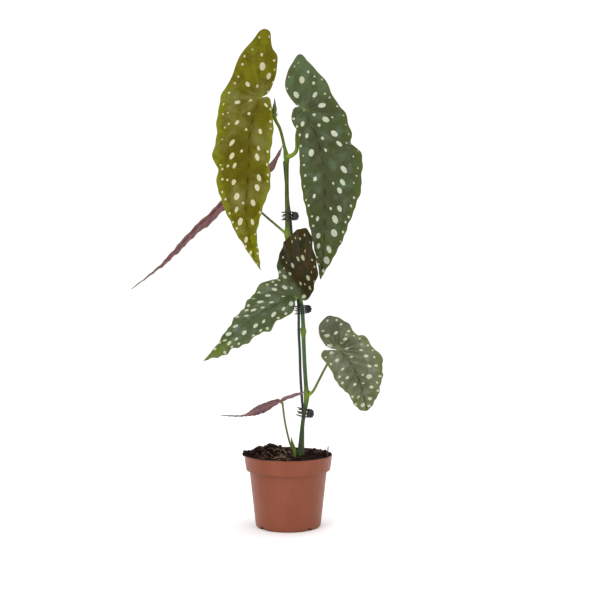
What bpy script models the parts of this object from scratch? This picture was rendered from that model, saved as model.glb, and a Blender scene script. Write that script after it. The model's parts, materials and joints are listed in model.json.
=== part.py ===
"""Potted polka dot begonia: a staked cane with six wing-shaped leaves in a plastic nursery pot.

Units are metres and +Z is up. The origin is the middle of the pot's underside, and -Y is the
side that the leaves face. Plant routes, leaf outlines and the pot's profile are driven by the
named values below; each solid keeps a small gap to its neighbours.
"""

from dataclasses import dataclass
from math import cos, pi, radians, sin, sqrt

import bmesh
import bpy
import numpy as np
from mathutils import Matrix, Vector

MM = 0.001
GAP = 0.3 * MM
MERGE = 0.01 * MM

# Pot: a 12 cm nursery pot. (radius, height) pairs run down its outer side.
POT_HEIGHT = 97 * MM
RIM_RADIUS = 60 * MM
RIM_FOOT_RADIUS = 57.5 * MM
RIM_DEPTH = 20 * MM
BODY_TOP_RADIUS = 52.8 * MM
BASE_RADIUS = 44 * MM
FOOT_CHAMFER = 1.5 * MM
WALL = 1.3 * MM
FLOOR = 1.8 * MM
POT_STEPS = 48
LIP_ROUND = 0.8 * MM
DRAIN_COUNT = 4
DRAIN_FIRST_DEG = -50
DRAIN_SIZE = (12 * MM, 10 * MM, 5.4 * MM)

# Soil: filled to just under the rim, with a heap behind and to the left of the cane.
SOIL_LEVEL = 91 * MM
SOIL_EDGE_INSET = 1.7 * MM
SOIL_SIDE_GAP = 1.2 * GAP
SOIL_RINGS = 6
SOIL_STEPS = 32
HEAP_HEIGHT = 12 * MM
HEAP_PLACE = (-26 * MM, 20 * MM)
HEAP_SPREAD = 24 * MM
LUMP_HEIGHT = 1.6 * MM
LUMP_LENGTH = 11 * MM
SOCKET_TOP = 125
SOCKET_HEEL = 1.5 * GAP

# The cane from its buried foot to the growing tip: x, y, z and radius in millimetres.
CANE = (
    (16.6, -4, 50, 4.4),
    (16.6, -4, 92, 5.4),
    (17.2, -4, 106, 4.2),
    (18.7, -4, 130, 3.0),
    (20.8, -4, 148, 2.7),
    (23.9, -4, 164, 2.9),
    (25.0, -3.6, 178, 4.1),
    (24.2, -3.2, 190, 2.9),
    (22.4, -3, 218, 2.7),
    (20.9, -3, 254, 2.8),
    (20.7, -3, 264, 4.1),
    (20.4, -3, 273, 2.8),
    (19.0, -3, 295, 2.7),
    (16.0, -2.5, 311, 2.8),
    (13.4, -2, 322, 4.0),
    (10.2, -2, 336, 2.8),
    (4.8, -2, 362, 2.9),
    (0.4, -1.5, 384, 3.1),
    (-1.2, -1, 396, 4.3),
    (-1.3, -1, 408, 3.2),
    (-1.6, -1, 435, 3.0),
    (-2.0, -0.6, 465, 2.8),
    (-2.0, -0.2, 490, 2.9),
    (-2.4, 0, 502, 4.0),
    (-5.0, 0, 515, 2.3),
    (-10.8, 0, 539, 2.1),
    (-16.8, 0, 551, 2.3),
    (-18.8, 0, 556, 2.9),
    (-19.2, 0, 560, 2.4),
)
BUD = ((-19.2, 0, 560.5, 2.1), (-18.0, 0, 567, 2.2), (-18.4, 0, 575, 1.3), (-19.0, 0, 582, 0.4))
BASAL_SHOOT = ((10, -10, 84, 1.6), (9, -10, 103, 1.8), (5.6, -10, 115, 1.1), (3.4, -11, 123, 0.3))

# The support stick, which crosses behind the cane twice.
STICK_RADIUS = 1.85
STICK = (
    (20.4, 4.2, 24),
    (20.2, 3.4, 95),
    (20.0, 1.4, 153),
    (18.6, 0.2, 172),
    (16.6, 0, 205),
    (15.7, 0.4, 236),
    (14.3, -0.6, 264),
    (14.1, -2.9, 295),
    (11.4, 4.4, 322),
    (8.6, 4.4, 350),
    (5.2, 3.4, 388),
    (2.6, 2.8, 421),
    (0.2, 4.2, 438),
    (-2.6, 4.6, 462),
    (-5.5, 5.0, 496),
)

# Petioles: x, y, z and radius. The last point is replaced by the leaf's seat.
PETIOLES = {
    "a": ((-18.8, 0, 555, 2.0), (-26, 1.5, 560, 1.9), (-33, -2, 571, 1.8), (0, 0, 0, 1.7)),
    "b": (
        (-2.4, 0, 502, 2.8),
        (6, -3, 504.5, 2.8),
        (11.6, -6, 512, 2.6),
        (11.6, -13, 530, 2.1),
        (16.5, -19, 548, 2.0),
        (0, 0, 0, 1.9),
    ),
    "c": ((13.4, -2, 322, 2.0), (11.5, -14, 311, 1.8), (9.8, -24, 307.5, 1.7), (0, 0, 0, 1.7)),
    "d": (
        (25.0, -3.6, 176, 2.0),
        (33.5, -6, 183, 1.9),
        (40.4, -9, 196, 1.7),
        (52.6, -16, 220, 1.6),
        (0, 0, 0, 1.6),
    ),
    "e": ((-1.2, -1, 396, 1.9), (-18, 10, 411, 1.7), (-37, 22, 428, 1.6), (0, 0, 0, 1.6)),
    "f": (
        (10, -16, 80, 1.5),
        (8.4, -16, 99, 1.5),
        (1.8, -20, 117, 1.4),
        (-4.1, -26, 144, 1.4),
        (0, 0, 0, 1.4),
    ),
}
# The swollen node radius that each petiole leaves the cane from; f rises out of the soil.
NODE_RADIUS = {"a": 2.7, "b": 3.3, "c": 3.3, "d": 3.7, "e": 4.2, "f": None}

LEAF_THICKNESS = 0.8
VEIN_LEAN = 0.75
EAR_ROWS = 9
BLADE_ROWS = 13
SINUS_ROWS = 2
LEAF_COLUMNS = 3
MARGIN_STEPS = 12
PETIOLE_STEPS = 4
PETIOLE_GAP = 0.4


@dataclass(frozen=True)
class Leaf:
    """A wing-shaped leaf. Lengths are millimetres in the flat leaf, angles are degrees.

    Points on the leaf are (along, across) from the petiole's seat: along the midrib towards the
    tip, and across to the right of someone who looks at the upper face with the tip down.
    `broad` runs from the sinus round the ear and down the broad side to the tip, `narrow` from
    the sinus down the other side, and `rib` is the midrib.
    """

    base: tuple
    heading: tuple
    facing: tuple
    broad: tuple
    narrow: tuple
    rib: tuple
    droop: float = 20
    ear_lift: float = 10
    crease: float = 0
    bend: float = 30
    dihedral: float = 6
    twist: float = 0
    scale: float = 1

    def frame(self):
        """The unit vectors along, across and out of the upper face."""
        along = unit(self.heading)
        facing = np.array(self.facing, float)
        out = unit(facing - facing.dot(along) * along)
        return along, np.cross(out, along), out

    def rib_at(self, along):
        """How far across the midrib lies at each distance along."""
        rib = np.array(self.rib, float) * self.scale
        return np.interp(along, rib[:, 0], rib[:, 1])

    def place(self, flat):
        """World points in millimetres for points of the flat leaf.

        The blade bends back along an arc as it nears the tip, and the ear turns up about a
        crease through the seat, over a short arc and then straight.
        """
        along, across = flat[:, 0], flat[:, 1]
        a_axis, b_axis, n_axis = self.frame()
        length = self.rib[-1][0] * self.scale
        rate = radians(max(self.droop, 0.01)) / length
        ahead = np.maximum(along, 0)
        pulled = np.sin(rate * ahead) / rate - ahead
        lift = radians(max(self.ear_lift, 0.01))
        skew = radians(self.crease)
        behind = np.maximum(-(along * cos(skew) + across * sin(skew)), 0)
        bend = self.bend * self.scale
        turn = np.minimum(behind / bend, 1) * lift
        rest = np.maximum(behind - bend, 0)
        run = bend / lift * np.sin(turn) + rest * cos(lift)
        rise = bend / lift * (1 - np.cos(turn)) + rest * sin(lift)
        off = across - self.rib_at(along)
        sway = sin(radians(self.twist)) * np.clip(along / length, -1, 1)
        height = rise - (1 - np.cos(rate * ahead)) / rate
        height += sway * off - np.tan(radians(self.dihedral)) * np.abs(off)
        crease_axis = cos(skew) * a_axis + sin(skew) * b_axis
        return (
            np.array(self.base)
            + np.outer(along + pulled, a_axis)
            + np.outer(across, b_axis)
            + np.outer(height, n_axis)
            + np.outer(behind - run, crease_axis)
        )


WING_BROAD = (
    (0, 0), (-4, 10), (-22, 18), (-47, 22), (-76, 12), (-106, 1), (-83, -17), (-62, -35),
    (-28, -45), (-9, -57), (30, -63), (72, -68), (96, -62), (127, -61), (160, -47), (192, -31),
    (234, -8),
)
WING_NARROW = (
    (0, 0), (4, 14), (16, 16), (46, 18), (88, 15), (126, 10), (158, 0), (182, -8), (206, -9),
    (234, -8),
)
WING_RIB = ((0, 0), (45, -13), (100, -16), (160, -21), (206, -16), (234, -8))

LEAVES = {
    "a": Leaf(
        base=(-37.3, -14, 579.6),
        heading=(-0.02, -0.17, -0.98),
        facing=(-0.2, -0.97, 0.17),
        broad=WING_BROAD,
        narrow=WING_NARROW,
        rib=WING_RIB,
        droop=25,
    ),
    "b": Leaf(
        base=(21.3, -26, 561),
        heading=(0.09, -0.12, -0.99),
        facing=(0.15, -0.97, 0.15),
        broad=(
            (0, 0), (-4, -8), (-20, -19), (-36, -23), (-57, -15), (-77, -2), (-76, 10),
            (-56, 25), (-40, 39), (-16, 44), (2, 58), (28, 61), (52, 63), (64, 73), (95, 71),
            (144, 56), (190, 36), (229, 8),
        ),
        narrow=(
            (0, 0), (-1, -15), (14, -19), (28, -14), (65, -12), (114, -10), (161, -3), (200, 3),
            (229, 8),
        ),
        rib=((0, 0), (35, 13), (76, 20), (122, 19), (169, 15), (229, 8)),
        droop=20,
    ),
    "c": Leaf(
        base=(9.3, -30, 312.3),
        heading=(-0.764, -0.361, -0.534),
        facing=(-0.1, -0.75, 0.65),
        broad=(
            (0, 0), (-3, 15), (-16, 21), (-34, 29), (-52, 32), (-66, 20), (-80, 14), (-95, 7),
            (-99, -10), (-78, -39), (-47, -64), (-24, -65), (-8, -46), (16, -50), (40, -45),
            (65, -37), (91, -30), (120, -17), (150, -8),
        ),
        narrow=(
            (0, 0), (12, 13), (30, 17), (56, 20), (71, 13), (87, 14), (102, 10), (127, 4),
            (150, -8),
        ),
        rib=((0, 0), (50, -10), (100, -10), (150, -8)),
        droop=10,
        ear_lift=70,
        crease=-12,
        bend=20,
        dihedral=2,
    ),
    "d": Leaf(
        base=(66.8, -26, 240.2),
        heading=(0.38, -0.35, -0.86),
        facing=(0.1, -0.85, 0.45),
        broad=(
            (0, 0), (-8, -11), (-24, -16), (-37, -15), (-49, -7), (-53, 12), (-44, 23),
            (-28, 33), (-10, 36), (4, 44), (24, 51), (44, 48), (67, 36), (84, 20), (90, 5),
        ),
        narrow=(
            (0, 0), (-4, -24), (6, -25), (33, -19), (47, -16), (59, -9), (74, -6), (84, -2),
            (90, 5),
        ),
        rib=((0, 0), (14, 6), (31, 10), (52, 11), (90, 5)),
        droop=30,
    ),
    "e": Leaf(
        base=(-72.9, 45, 462.3),
        heading=(-0.74, 0.02, -0.67),
        facing=(-0.67, 0.12, 0.74),
        broad=WING_BROAD,
        narrow=WING_NARROW,
        rib=WING_RIB,
        droop=8,
        ear_lift=5,
        scale=0.88,
    ),
    "f": Leaf(
        base=(-9.3, -30, 172.4),
        heading=(-0.97, 0, -0.25),
        facing=(-0.25, 0.22, 0.95),
        broad=WING_BROAD,
        narrow=WING_NARROW,
        rib=WING_RIB,
        droop=8,
        ear_lift=6,
        scale=0.34,
    ),
}

# Claw clips, in millimetres. The hinge runs up the clip; jaws point to -X and grips to +X.
JAW_THICKNESS = 1.3
JAW_HEIGHT = 11.6
JAW_GAP = 0.35
TOOTH_THICKNESS = 1.2
TOOTH_HEIGHT = 1.5
TOOTH_PITCH = 5.0
TOOTH_CROSSING = 15.0
TIP_REACH = 17.0
PATH_STEPS = 2
PALM_SPANS = 3.5
TOOTH_SPANS = 1.5
KNUCKLE_RADIUS = 2.1
KNUCKLE_HEIGHT = 1.4
KNUCKLE_GAP = 0.3
WEB_RADIUS = 1.2
BORE_GAP = 0.3
PIN_RADIUS = 0.8
PIN_LENGTH = 11.0
GRIP_SPLAY = 30
GRIP_SIZE = (9, 12)
GRIP_LOBES = 8
GRIP_SCALLOP = 0.07
COIL_RADIUS = 1.5
COIL_WIRE = 0.25
COIL_TURNS = 2.5
COIL_PITCH = 0.85
COIL_STEPS = 10
COIL_GAP = 0.6


@dataclass(frozen=True)
class Clip:
    """Where a clip's hinge stands, how far it leans, and half the bundle it grips."""

    hinge: tuple
    lean: float
    half_bundle: float


CLIPS = {
    "upper": Clip(hinge=(7.6, 0.1, 421.5), lean=0, half_bundle=4.4),
    "middle": Clip(hinge=(25.0, -3.0, 294.6), lean=-6, half_bundle=3.3),
    "lower": Clip(hinge=(28.2, -1.8, 152.8), lean=10, half_bundle=5.1),
}

# name: (red, green, blue), roughness
FINISHES = {
    "pot_plastic": ((0.28, 0.085, 0.045), 0.45),
    "potting_mix": ((0.025, 0.012, 0.008), 0.95),
    "cane_skin": ((0.10, 0.15, 0.03), 0.45),
    "petiole_skin": ((0.22, 0.32, 0.03), 0.4),
    "leaf_skin": ((0.09, 0.12, 0.03), 0.4),
    "stick_plastic": ((0.012, 0.02, 0.008), 0.4),
    "clip_plastic": ((0.015, 0.015, 0.017), 0.35),
    "spring_steel": ((0.5, 0.5, 0.5), 0.3),
}


def unit(vector):
    """The vector at length one."""
    vector = np.asarray(vector, float)
    return vector / np.linalg.norm(vector)


def smooth(points, steps):
    """A Catmull-Rom curve through the points, with this many samples to a span."""
    points = np.asarray(points, float)
    ends = (2 * points[0] - points[1], 2 * points[-1] - points[-2])
    held = np.vstack([ends[0], points, ends[1]])
    t = np.linspace(0, 1, steps, endpoint=False)[:, None]
    spans = []
    for p0, p1, p2, p3 in zip(held, held[1:], held[2:], held[3:]):
        bend = 2 * p0 - 5 * p1 + 4 * p2 - p3
        spans.append(p1 + 0.5 * ((p2 - p0) * t + bend * t**2 + (3 * (p1 - p2) + p3 - p0) * t**3))
    return np.vstack([*spans, points[-1]])


def clear_scene():
    """Removes every object, so that the file holds only the model."""
    for item in list(bpy.data.objects):
        bpy.data.objects.remove(item, do_unlink=True)


def collection(name):
    """A new collection in the scene."""
    made = bpy.data.collections.new(name)
    bpy.context.scene.collection.children.link(made)
    return made


def finish(name):
    """The Principled material of this name."""
    material = bpy.data.materials.get(name)
    if material:
        return material
    colour, roughness = FINISHES[name]
    material = bpy.data.materials.new(name)
    material.use_nodes = True
    shader = material.node_tree.nodes["Principled BSDF"]
    shader.inputs["Base Color"].default_value = (*colour, 1)
    shader.inputs["Roughness"].default_value = roughness
    shader.inputs["Metallic"].default_value = 1.0 if name == "spring_steel" else 0.0
    return material


def add_object(name, data, group, material=None):
    """An object for this data in the group, with its material."""
    made = bpy.data.objects.new(name, data)
    group.objects.link(made)
    if material:
        data.materials.append(finish(material))
    return made


def mesh_from(name, points, faces):
    """A mesh with coincident points welded."""
    mesh = bpy.data.meshes.new(name)
    mesh.from_pydata([tuple(p) for p in points], [], [tuple(f) for f in faces])
    work = bmesh.new()
    work.from_mesh(mesh)
    bmesh.ops.remove_doubles(work, verts=work.verts, dist=MERGE)
    bmesh.ops.dissolve_degenerate(work, edges=work.edges, dist=MERGE)
    work.to_mesh(mesh)
    work.free()
    return mesh


def tube_curve(name, points, extra=0.0, resolution=2):
    """A round tube with closed ends through (x, y, z, radius) points in millimetres."""
    curve = bpy.data.curves.new(name, "CURVE")
    curve.dimensions = "3D"
    curve.bevel_depth = MM
    curve.bevel_resolution = resolution
    curve.use_fill_caps = True
    spline = curve.splines.new("POLY")
    spline.points.add(len(points) - 1)
    for target, (x, y, z, radius) in zip(spline.points, points):
        target.co = (x * MM, y * MM, z * MM, 1)
        target.radius = radius + extra / MM
    return curve


def as_mesh(item):
    """Turns a curve or modified object into a plain closed mesh object in its place."""
    graph = bpy.context.evaluated_depsgraph_get()
    graph.update()
    mesh = bpy.data.meshes.new_from_object(item.evaluated_get(graph))
    work = bmesh.new()
    work.from_mesh(mesh)
    bmesh.ops.remove_doubles(work, verts=work.verts, dist=MERGE)
    bmesh.ops.recalc_face_normals(work, faces=work.faces)
    work.to_mesh(mesh)
    work.free()
    name, matrix, groups = item.name, item.matrix_world.copy(), list(item.users_collection)
    bpy.data.objects.remove(item, do_unlink=True)
    made = bpy.data.objects.new(name, mesh)
    made.matrix_world = matrix
    for group in groups:
        group.objects.link(made)
    return made


def add_boolean(item, other, operation):
    """Cuts or joins with the exact solver, and hides the other object as a guide."""
    modifier = item.modifiers.new(other.name, "BOOLEAN")
    modifier.operation = operation
    modifier.solver = "EXACT"
    modifier.object = other
    other.hide_render = True
    other.display_type = "WIRE"


def turned(name, profile, steps, group, material):
    """A solid turned about Z from (radius, height) pairs that run down its outer side."""
    mesh = bpy.data.meshes.new(name)
    points = [(radius, 0, height) for radius, height in profile]
    mesh.from_pydata(points, [(i, i + 1) for i in range(len(points) - 1)], [])
    item = add_object(name, mesh, group, material)
    screw = item.modifiers.new("turn", "SCREW")
    screw.steps = steps
    screw.render_steps = steps
    screw.use_merge_vertices = True
    screw.merge_threshold = MERGE
    return item


def pot_outer():
    """The pot's outer profile, from the rim down to the middle of the underside."""
    shoulder = POT_HEIGHT - RIM_DEPTH
    return (
        (RIM_RADIUS - LIP_ROUND / 2, POT_HEIGHT),
        (RIM_RADIUS, POT_HEIGHT - LIP_ROUND),
        (RIM_FOOT_RADIUS, shoulder),
        (BODY_TOP_RADIUS + LIP_ROUND, shoulder - LIP_ROUND),
        (BODY_TOP_RADIUS, shoulder - LIP_ROUND * 2),
        (BASE_RADIUS + FOOT_CHAMFER * 0.4, FOOT_CHAMFER * 2),
        (BASE_RADIUS - FOOT_CHAMFER * 0.5, 0),
        (0, 0),
    )


def pot_inner():
    """The pot's inner profile, from the rim down to the middle of the floor."""
    shoulder = POT_HEIGHT - RIM_DEPTH
    return (
        (RIM_RADIUS - WALL - LIP_ROUND / 2, POT_HEIGHT),
        (RIM_FOOT_RADIUS - WALL, shoulder + WALL),
        (BODY_TOP_RADIUS - WALL, shoulder - WALL),
        (BASE_RADIUS - WALL, FLOOR),
        (0, FLOOR),
    )


def build_pot(parts, guides):
    """The turned pot, with a drain notch through each quarter of its bottom edge."""
    profile = [*reversed(pot_inner()), *pot_outer()]
    pot = turned("pot", profile, POT_STEPS, parts, "pot_plastic")
    for index in range(DRAIN_COUNT):
        turn = radians(DRAIN_FIRST_DEG + 360 / DRAIN_COUNT * index)
        bpy.ops.mesh.primitive_cube_add(size=1)
        notch = bpy.context.active_object
        notch.name = f"drain_cutter_{index + 1}"
        notch.data.transform(Matrix.Diagonal((*DRAIN_SIZE, 1)))
        notch.location = (BASE_RADIUS * cos(turn), BASE_RADIUS * sin(turn), 0)
        notch.rotation_euler = (0, 0, turn)
        for group in list(notch.users_collection):
            group.objects.unlink(notch)
        guides.objects.link(notch)
        add_boolean(pot, notch, "DIFFERENCE")
    return pot


def soil_rise(x, y):
    """How far the soil stands above its level: a heap, and lumps all over."""
    heap = ((x - HEAP_PLACE[0]) ** 2 + (y - HEAP_PLACE[1]) ** 2) / HEAP_SPREAD**2
    lumps = sin(x / LUMP_LENGTH * 2 * pi) * cos(y / LUMP_LENGTH * 1.7 * pi + 1)
    return HEAP_HEIGHT * np.exp(-heap) + LUMP_HEIGHT * lumps


def build_soil(parts, guides, buried):
    """The soil inside the pot, with a socket for everything that stands in it."""
    edge = RIM_RADIUS - WALL - SOIL_EDGE_INSET
    side = [(radius - SOIL_SIDE_GAP, height) for radius, height in pot_inner()[1:4]]
    rings = [(edge * i / SOIL_RINGS, SOIL_LEVEL) for i in range(SOIL_RINGS + 1)]
    bottom = FLOOR + GAP
    side[-1] = (side[-1][0], bottom)
    soil = as_mesh(turned("soil", [*rings, *side, (0, bottom)], SOIL_STEPS, parts, "potting_mix"))
    soil.data.materials.clear()
    soil.data.materials.append(finish("potting_mix"))
    for point in soil.data.vertices:
        if point.co.z > SOIL_LEVEL - MM:
            point.co.z += soil_rise(point.co.x, point.co.y)
    for name, points in buried.items():
        low = [point for point in points if point[2] < SOCKET_TOP]
        heel = np.array(low[0])
        heel[:3] -= unit(low[1][:3] - low[0][:3]) * (SOCKET_HEEL / MM)
        curve = tube_curve(f"{name}_socket", [heel, *low], extra=GAP, resolution=4)
        cutter = as_mesh(add_object(f"{name}_socket", curve, guides))
        add_boolean(soil, cutter, "DIFFERENCE")
    return soil


def leaf_seat(leaf, direction, radius):
    """Where a petiole's end stops under the seat, so that its cap clears the leaf."""
    out = leaf.frame()[2]
    slant = sqrt(max(0.0, 1 - float(unit(direction).dot(out)) ** 2))
    fall = radius * np.tan(radians(leaf.dihedral))
    drop = LEAF_THICKNESS / 2 + GAP / MM + radius * slant + fall
    return np.array(leaf.base) - out * drop


def petiole_points(key):
    """A petiole's route: off the node's skin, and up to the underside of its leaf."""
    points = np.array(PETIOLES[key], float)
    radius = points[-1, 3]
    target = leaf_seat(LEAVES[key], LEAVES[key].frame()[2], radius)
    direction = target - points[-2, :3]
    points[-1, :3] = leaf_seat(LEAVES[key], direction, radius)
    node = NODE_RADIUS[key]
    if node:
        aim = unit(points[1, :3] - points[0, :3])
        level = sqrt(aim[0] ** 2 + aim[1] ** 2)
        clear = (node + PETIOLE_GAP + points[0, 3] * abs(aim[2])) / level
        points[0, :3] += aim * clear
    return smooth(points, PETIOLE_STEPS)


def margin_rows(leaf, margin, fan_rows):
    """Rows from the midrib to the margin, leaning forwards like the side veins.

    Rows near the ear all start at the seat. Returns the feet and the ends of the rows.
    """
    edge = smooth(np.array(margin, float) * leaf.scale, MARGIN_STEPS)
    off = np.abs(edge[:, 1] - leaf.rib_at(edge[:, 0]))
    length = leaf.rib[-1][0] * leaf.scale
    foot = np.clip(edge[:, 0] - VEIN_LEAN * off, 0, length)
    foot[-1] = length
    foot = np.maximum.accumulate(foot)
    first = int(np.argmax(foot > 0)) - 1
    step = np.linalg.norm(np.diff(edge, axis=0), axis=1)
    run = np.concatenate([[0], np.cumsum(step)])
    sinus = run[MARGIN_STEPS]
    fan = np.linspace(sinus, run[first], fan_rows, endpoint=False)
    stations = np.linspace(0, length, BLADE_ROWS + 1)
    blade = np.interp(stations, foot[first:] + np.arange(len(foot) - first) * 1e-6, run[first:])
    blade[0] = run[first]
    at = np.concatenate([fan, blade])
    ends = np.stack([np.interp(at, run, edge[:, 0]), np.interp(at, run, edge[:, 1])], 1)
    feet_along = np.concatenate([np.zeros(fan_rows), stations])
    feet = np.stack([feet_along, leaf.rib_at(feet_along)], 1)
    return feet, ends


def leaf_sheet(leaf):
    """Points and faces of the leaf's middle surface, in metres."""
    points, faces = [], []
    for margin, fan_rows, flip in ((leaf.broad, EAR_ROWS, False), (leaf.narrow, SINUS_ROWS, True)):
        feet, ends = margin_rows(leaf, margin, fan_rows)
        t = np.linspace(0, 1, LEAF_COLUMNS + 1)[None, :, None]
        flat = (feet[:, None] + (ends - feet)[:, None] * t).reshape(-1, 2)
        start = len(points)
        points.extend(leaf.place(flat) * MM)
        width = LEAF_COLUMNS + 1
        for row in range(len(feet) - 1):
            for column in range(LEAF_COLUMNS):
                corner = start + row * width + column
                face = (corner, corner + 1, corner + width + 1, corner + width)
                faces.append(face[::-1] if flip else face)
    return points, faces


def build_leaf(key, parts):
    """A leaf blade: its middle surface, thickened."""
    name = f"leaf_{key}"
    item = add_object(name, mesh_from(name, *leaf_sheet(LEAVES[key])), parts, "leaf_skin")
    shell = item.modifiers.new("thickness", "SOLIDIFY")
    shell.thickness = LEAF_THICKNESS * MM
    shell.offset = 0
    item.data.shade_smooth()
    return item


def jaw_path(half_bundle):
    """The middle line of a front jaw in plan, from its grip to the tip of its teeth."""
    belly = half_bundle + JAW_THICKNESS / 2 + JAW_GAP
    start = KNUCKLE_RADIUS + JAW_GAP + JAW_THICKNESS / 2
    return smooth(
        (
            (1.5, -start - 0.6),
            (-1.0, -start - 0.4),
            (-3.6, -belly),
            (-9.0, -belly),
            (-13.0, -belly * 0.62),
            (-TOOTH_CROSSING, -0.6),
            (-TIP_REACH, 1.6),
        ),
        PATH_STEPS,
    )


def ribbon(name, path, low, high, group, thickness=JAW_THICKNESS):
    """A strip that stands on a plan path, thickened evenly to both sides."""
    count = len(path)
    points = [(x * MM, y * MM, z * MM) for z in (low, high) for x, y in path]
    faces = [(i, i + 1, i + 1 + count, i + count) for i in range(count - 1)]
    item = add_object(name, mesh_from(name, points, faces), group)
    shell = item.modifiers.new("thickness", "SOLIDIFY")
    shell.thickness = thickness * MM
    shell.offset = 0
    return as_mesh(item)


def disc(name, radius, height, place, group, vertices=14):
    """A closed upright cylinder, its sizes and place in millimetres."""
    mesh = bpy.data.meshes.new(name)
    work = bmesh.new()
    bmesh.ops.create_cone(
        work,
        cap_ends=True,
        segments=vertices,
        radius1=radius * MM,
        radius2=radius * MM,
        depth=height * MM,
    )
    work.to_mesh(mesh)
    work.free()
    mesh.transform(Matrix.Translation(Vector(place) * MM))
    return add_object(name, mesh, group)


def finger_grip(name, group):
    """A scalloped oval plate that leans out from the hinge."""
    width, height = GRIP_SIZE
    outline = []
    for index in range(GRIP_LOBES * 3):
        turn = 2 * pi * index / (GRIP_LOBES * 3)
        swell = 1 + GRIP_SCALLOP * cos(GRIP_LOBES * turn)
        outline.append((width / 2 * swell * cos(turn) * MM, height / 2 * swell * sin(turn) * MM))
    curve = bpy.data.curves.new(name, "CURVE")
    curve.dimensions = "2D"
    curve.fill_mode = "BOTH"
    curve.extrude = JAW_THICKNESS / 2 * MM
    spline = curve.splines.new("POLY")
    spline.points.add(len(outline) - 1)
    spline.use_cyclic_u = True
    for target, (x, y) in zip(spline.points, outline):
        target.co = (x, y, 0, 1)
    item = as_mesh(add_object(name, curve, group))
    start = KNUCKLE_RADIUS + JAW_GAP + JAW_THICKNESS / 2
    lean = Matrix.Rotation(radians(-GRIP_SPLAY), 4, "Z")
    out = Matrix.Translation((width / 2 * MM, 0, 0))
    seat = Matrix.Translation((0, -start * MM, 0))
    item.data.transform(seat @ lean @ out @ Matrix.Rotation(pi / 2, 4, "X"))
    return item


def knuckle_heights(front):
    """The heights of a jaw's two hinge knuckles; the back jaw's lie inside the front jaw's."""
    inner = COIL_TURNS / 2 * COIL_PITCH + COIL_GAP + KNUCKLE_HEIGHT / 2
    height = inner + (KNUCKLE_HEIGHT + KNUCKLE_GAP if front else 0)
    return (-height, height)


def build_jaw(name, clip, front, parts, guides):
    """One jaw: palm, teeth, finger grip and two bored knuckles, joined in one solid."""
    path = jaw_path(clip.half_bundle)
    palm = path[: int(PALM_SPANS * PATH_STEPS) + 1]
    fingers = path[int(TOOTH_SPANS * PATH_STEPS) :]
    pieces = [ribbon(f"{name}_palm", palm, -JAW_HEIGHT / 2, JAW_HEIGHT / 2, guides)]
    rows = (-1, 0, 1) if front else (-0.5, 0.5)
    for index, row in enumerate(rows):
        low = row * TOOTH_PITCH - TOOTH_HEIGHT / 2
        high = low + TOOTH_HEIGHT
        pieces.append(ribbon(f"{name}_tooth_{index}", fingers, low, high, guides, TOOTH_THICKNESS))
    pieces.append(finger_grip(f"{name}_grip", guides))
    body = pieces[0]
    for height in knuckle_heights(front):
        place = (0, 0, height)
        pieces.append(disc(f"{name}_knuckle", KNUCKLE_RADIUS, KNUCKLE_HEIGHT, place, guides))
        web = disc(f"{name}_web", WEB_RADIUS, KNUCKLE_HEIGHT, place, guides, 4)
        web.data.transform(Matrix.Translation((0, -KNUCKLE_RADIUS * MM, 0)))
        pieces.append(web)
    item = add_object(name, body.data.copy(), parts)
    item.data.materials.clear()
    item.data.materials.append(finish("clip_plastic"))
    bpy.data.objects.remove(body, do_unlink=True)
    for piece in pieces[1:]:
        add_boolean(item, piece, "UNION")
    bore = disc(f"{name}_bore", PIN_RADIUS + BORE_GAP, PIN_LENGTH, (0, 0, 0), guides, 12)
    add_boolean(item, bore, "DIFFERENCE")
    return item


def build_spring(name, parts):
    """The coil round the hinge pin, between the inner knuckles."""
    steps = int(COIL_TURNS * COIL_STEPS)
    points = []
    for index in range(steps + 1):
        turn = 2 * pi * index / COIL_STEPS
        rise = (index / steps - 0.5) * COIL_TURNS * COIL_PITCH
        points.append((COIL_RADIUS * cos(turn), COIL_RADIUS * sin(turn), rise, COIL_WIRE))
    return add_object(name, tube_curve(name, points), parts, "spring_steel")


def build_clip(key, parts, guides):
    """A claw clip about its hinge: two jaws, the spring between them and the pin."""
    clip = CLIPS[key]
    pivot = bpy.data.objects.new(f"{key}_clip_hinge", None)
    parts.objects.link(pivot)
    pivot.location = Vector(clip.hinge) * MM
    pivot.rotation_euler = (0, radians(clip.lean), 0)
    front = build_jaw(f"{key}_clip_front_jaw", clip, True, parts, guides)
    back = build_jaw(f"{key}_clip_back_jaw", clip, False, parts, guides)
    mirror = Matrix.Diagonal((1, -1, 1, 1))
    for item in (back, *(m.object for m in back.modifiers)):
        item.data.transform(mirror)
        item.data.flip_normals()
    spring = build_spring(f"{key}_clip_spring", parts)
    pin = disc(f"{key}_clip_pin", PIN_RADIUS, PIN_LENGTH, (0, 0, 0), parts, 12)
    pin.data.materials.append(finish("spring_steel"))
    for item in (front, back, spring, pin):
        guided = [modifier.object for modifier in item.modifiers]
        for piece in (item, *guided):
            piece.parent = pivot


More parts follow.
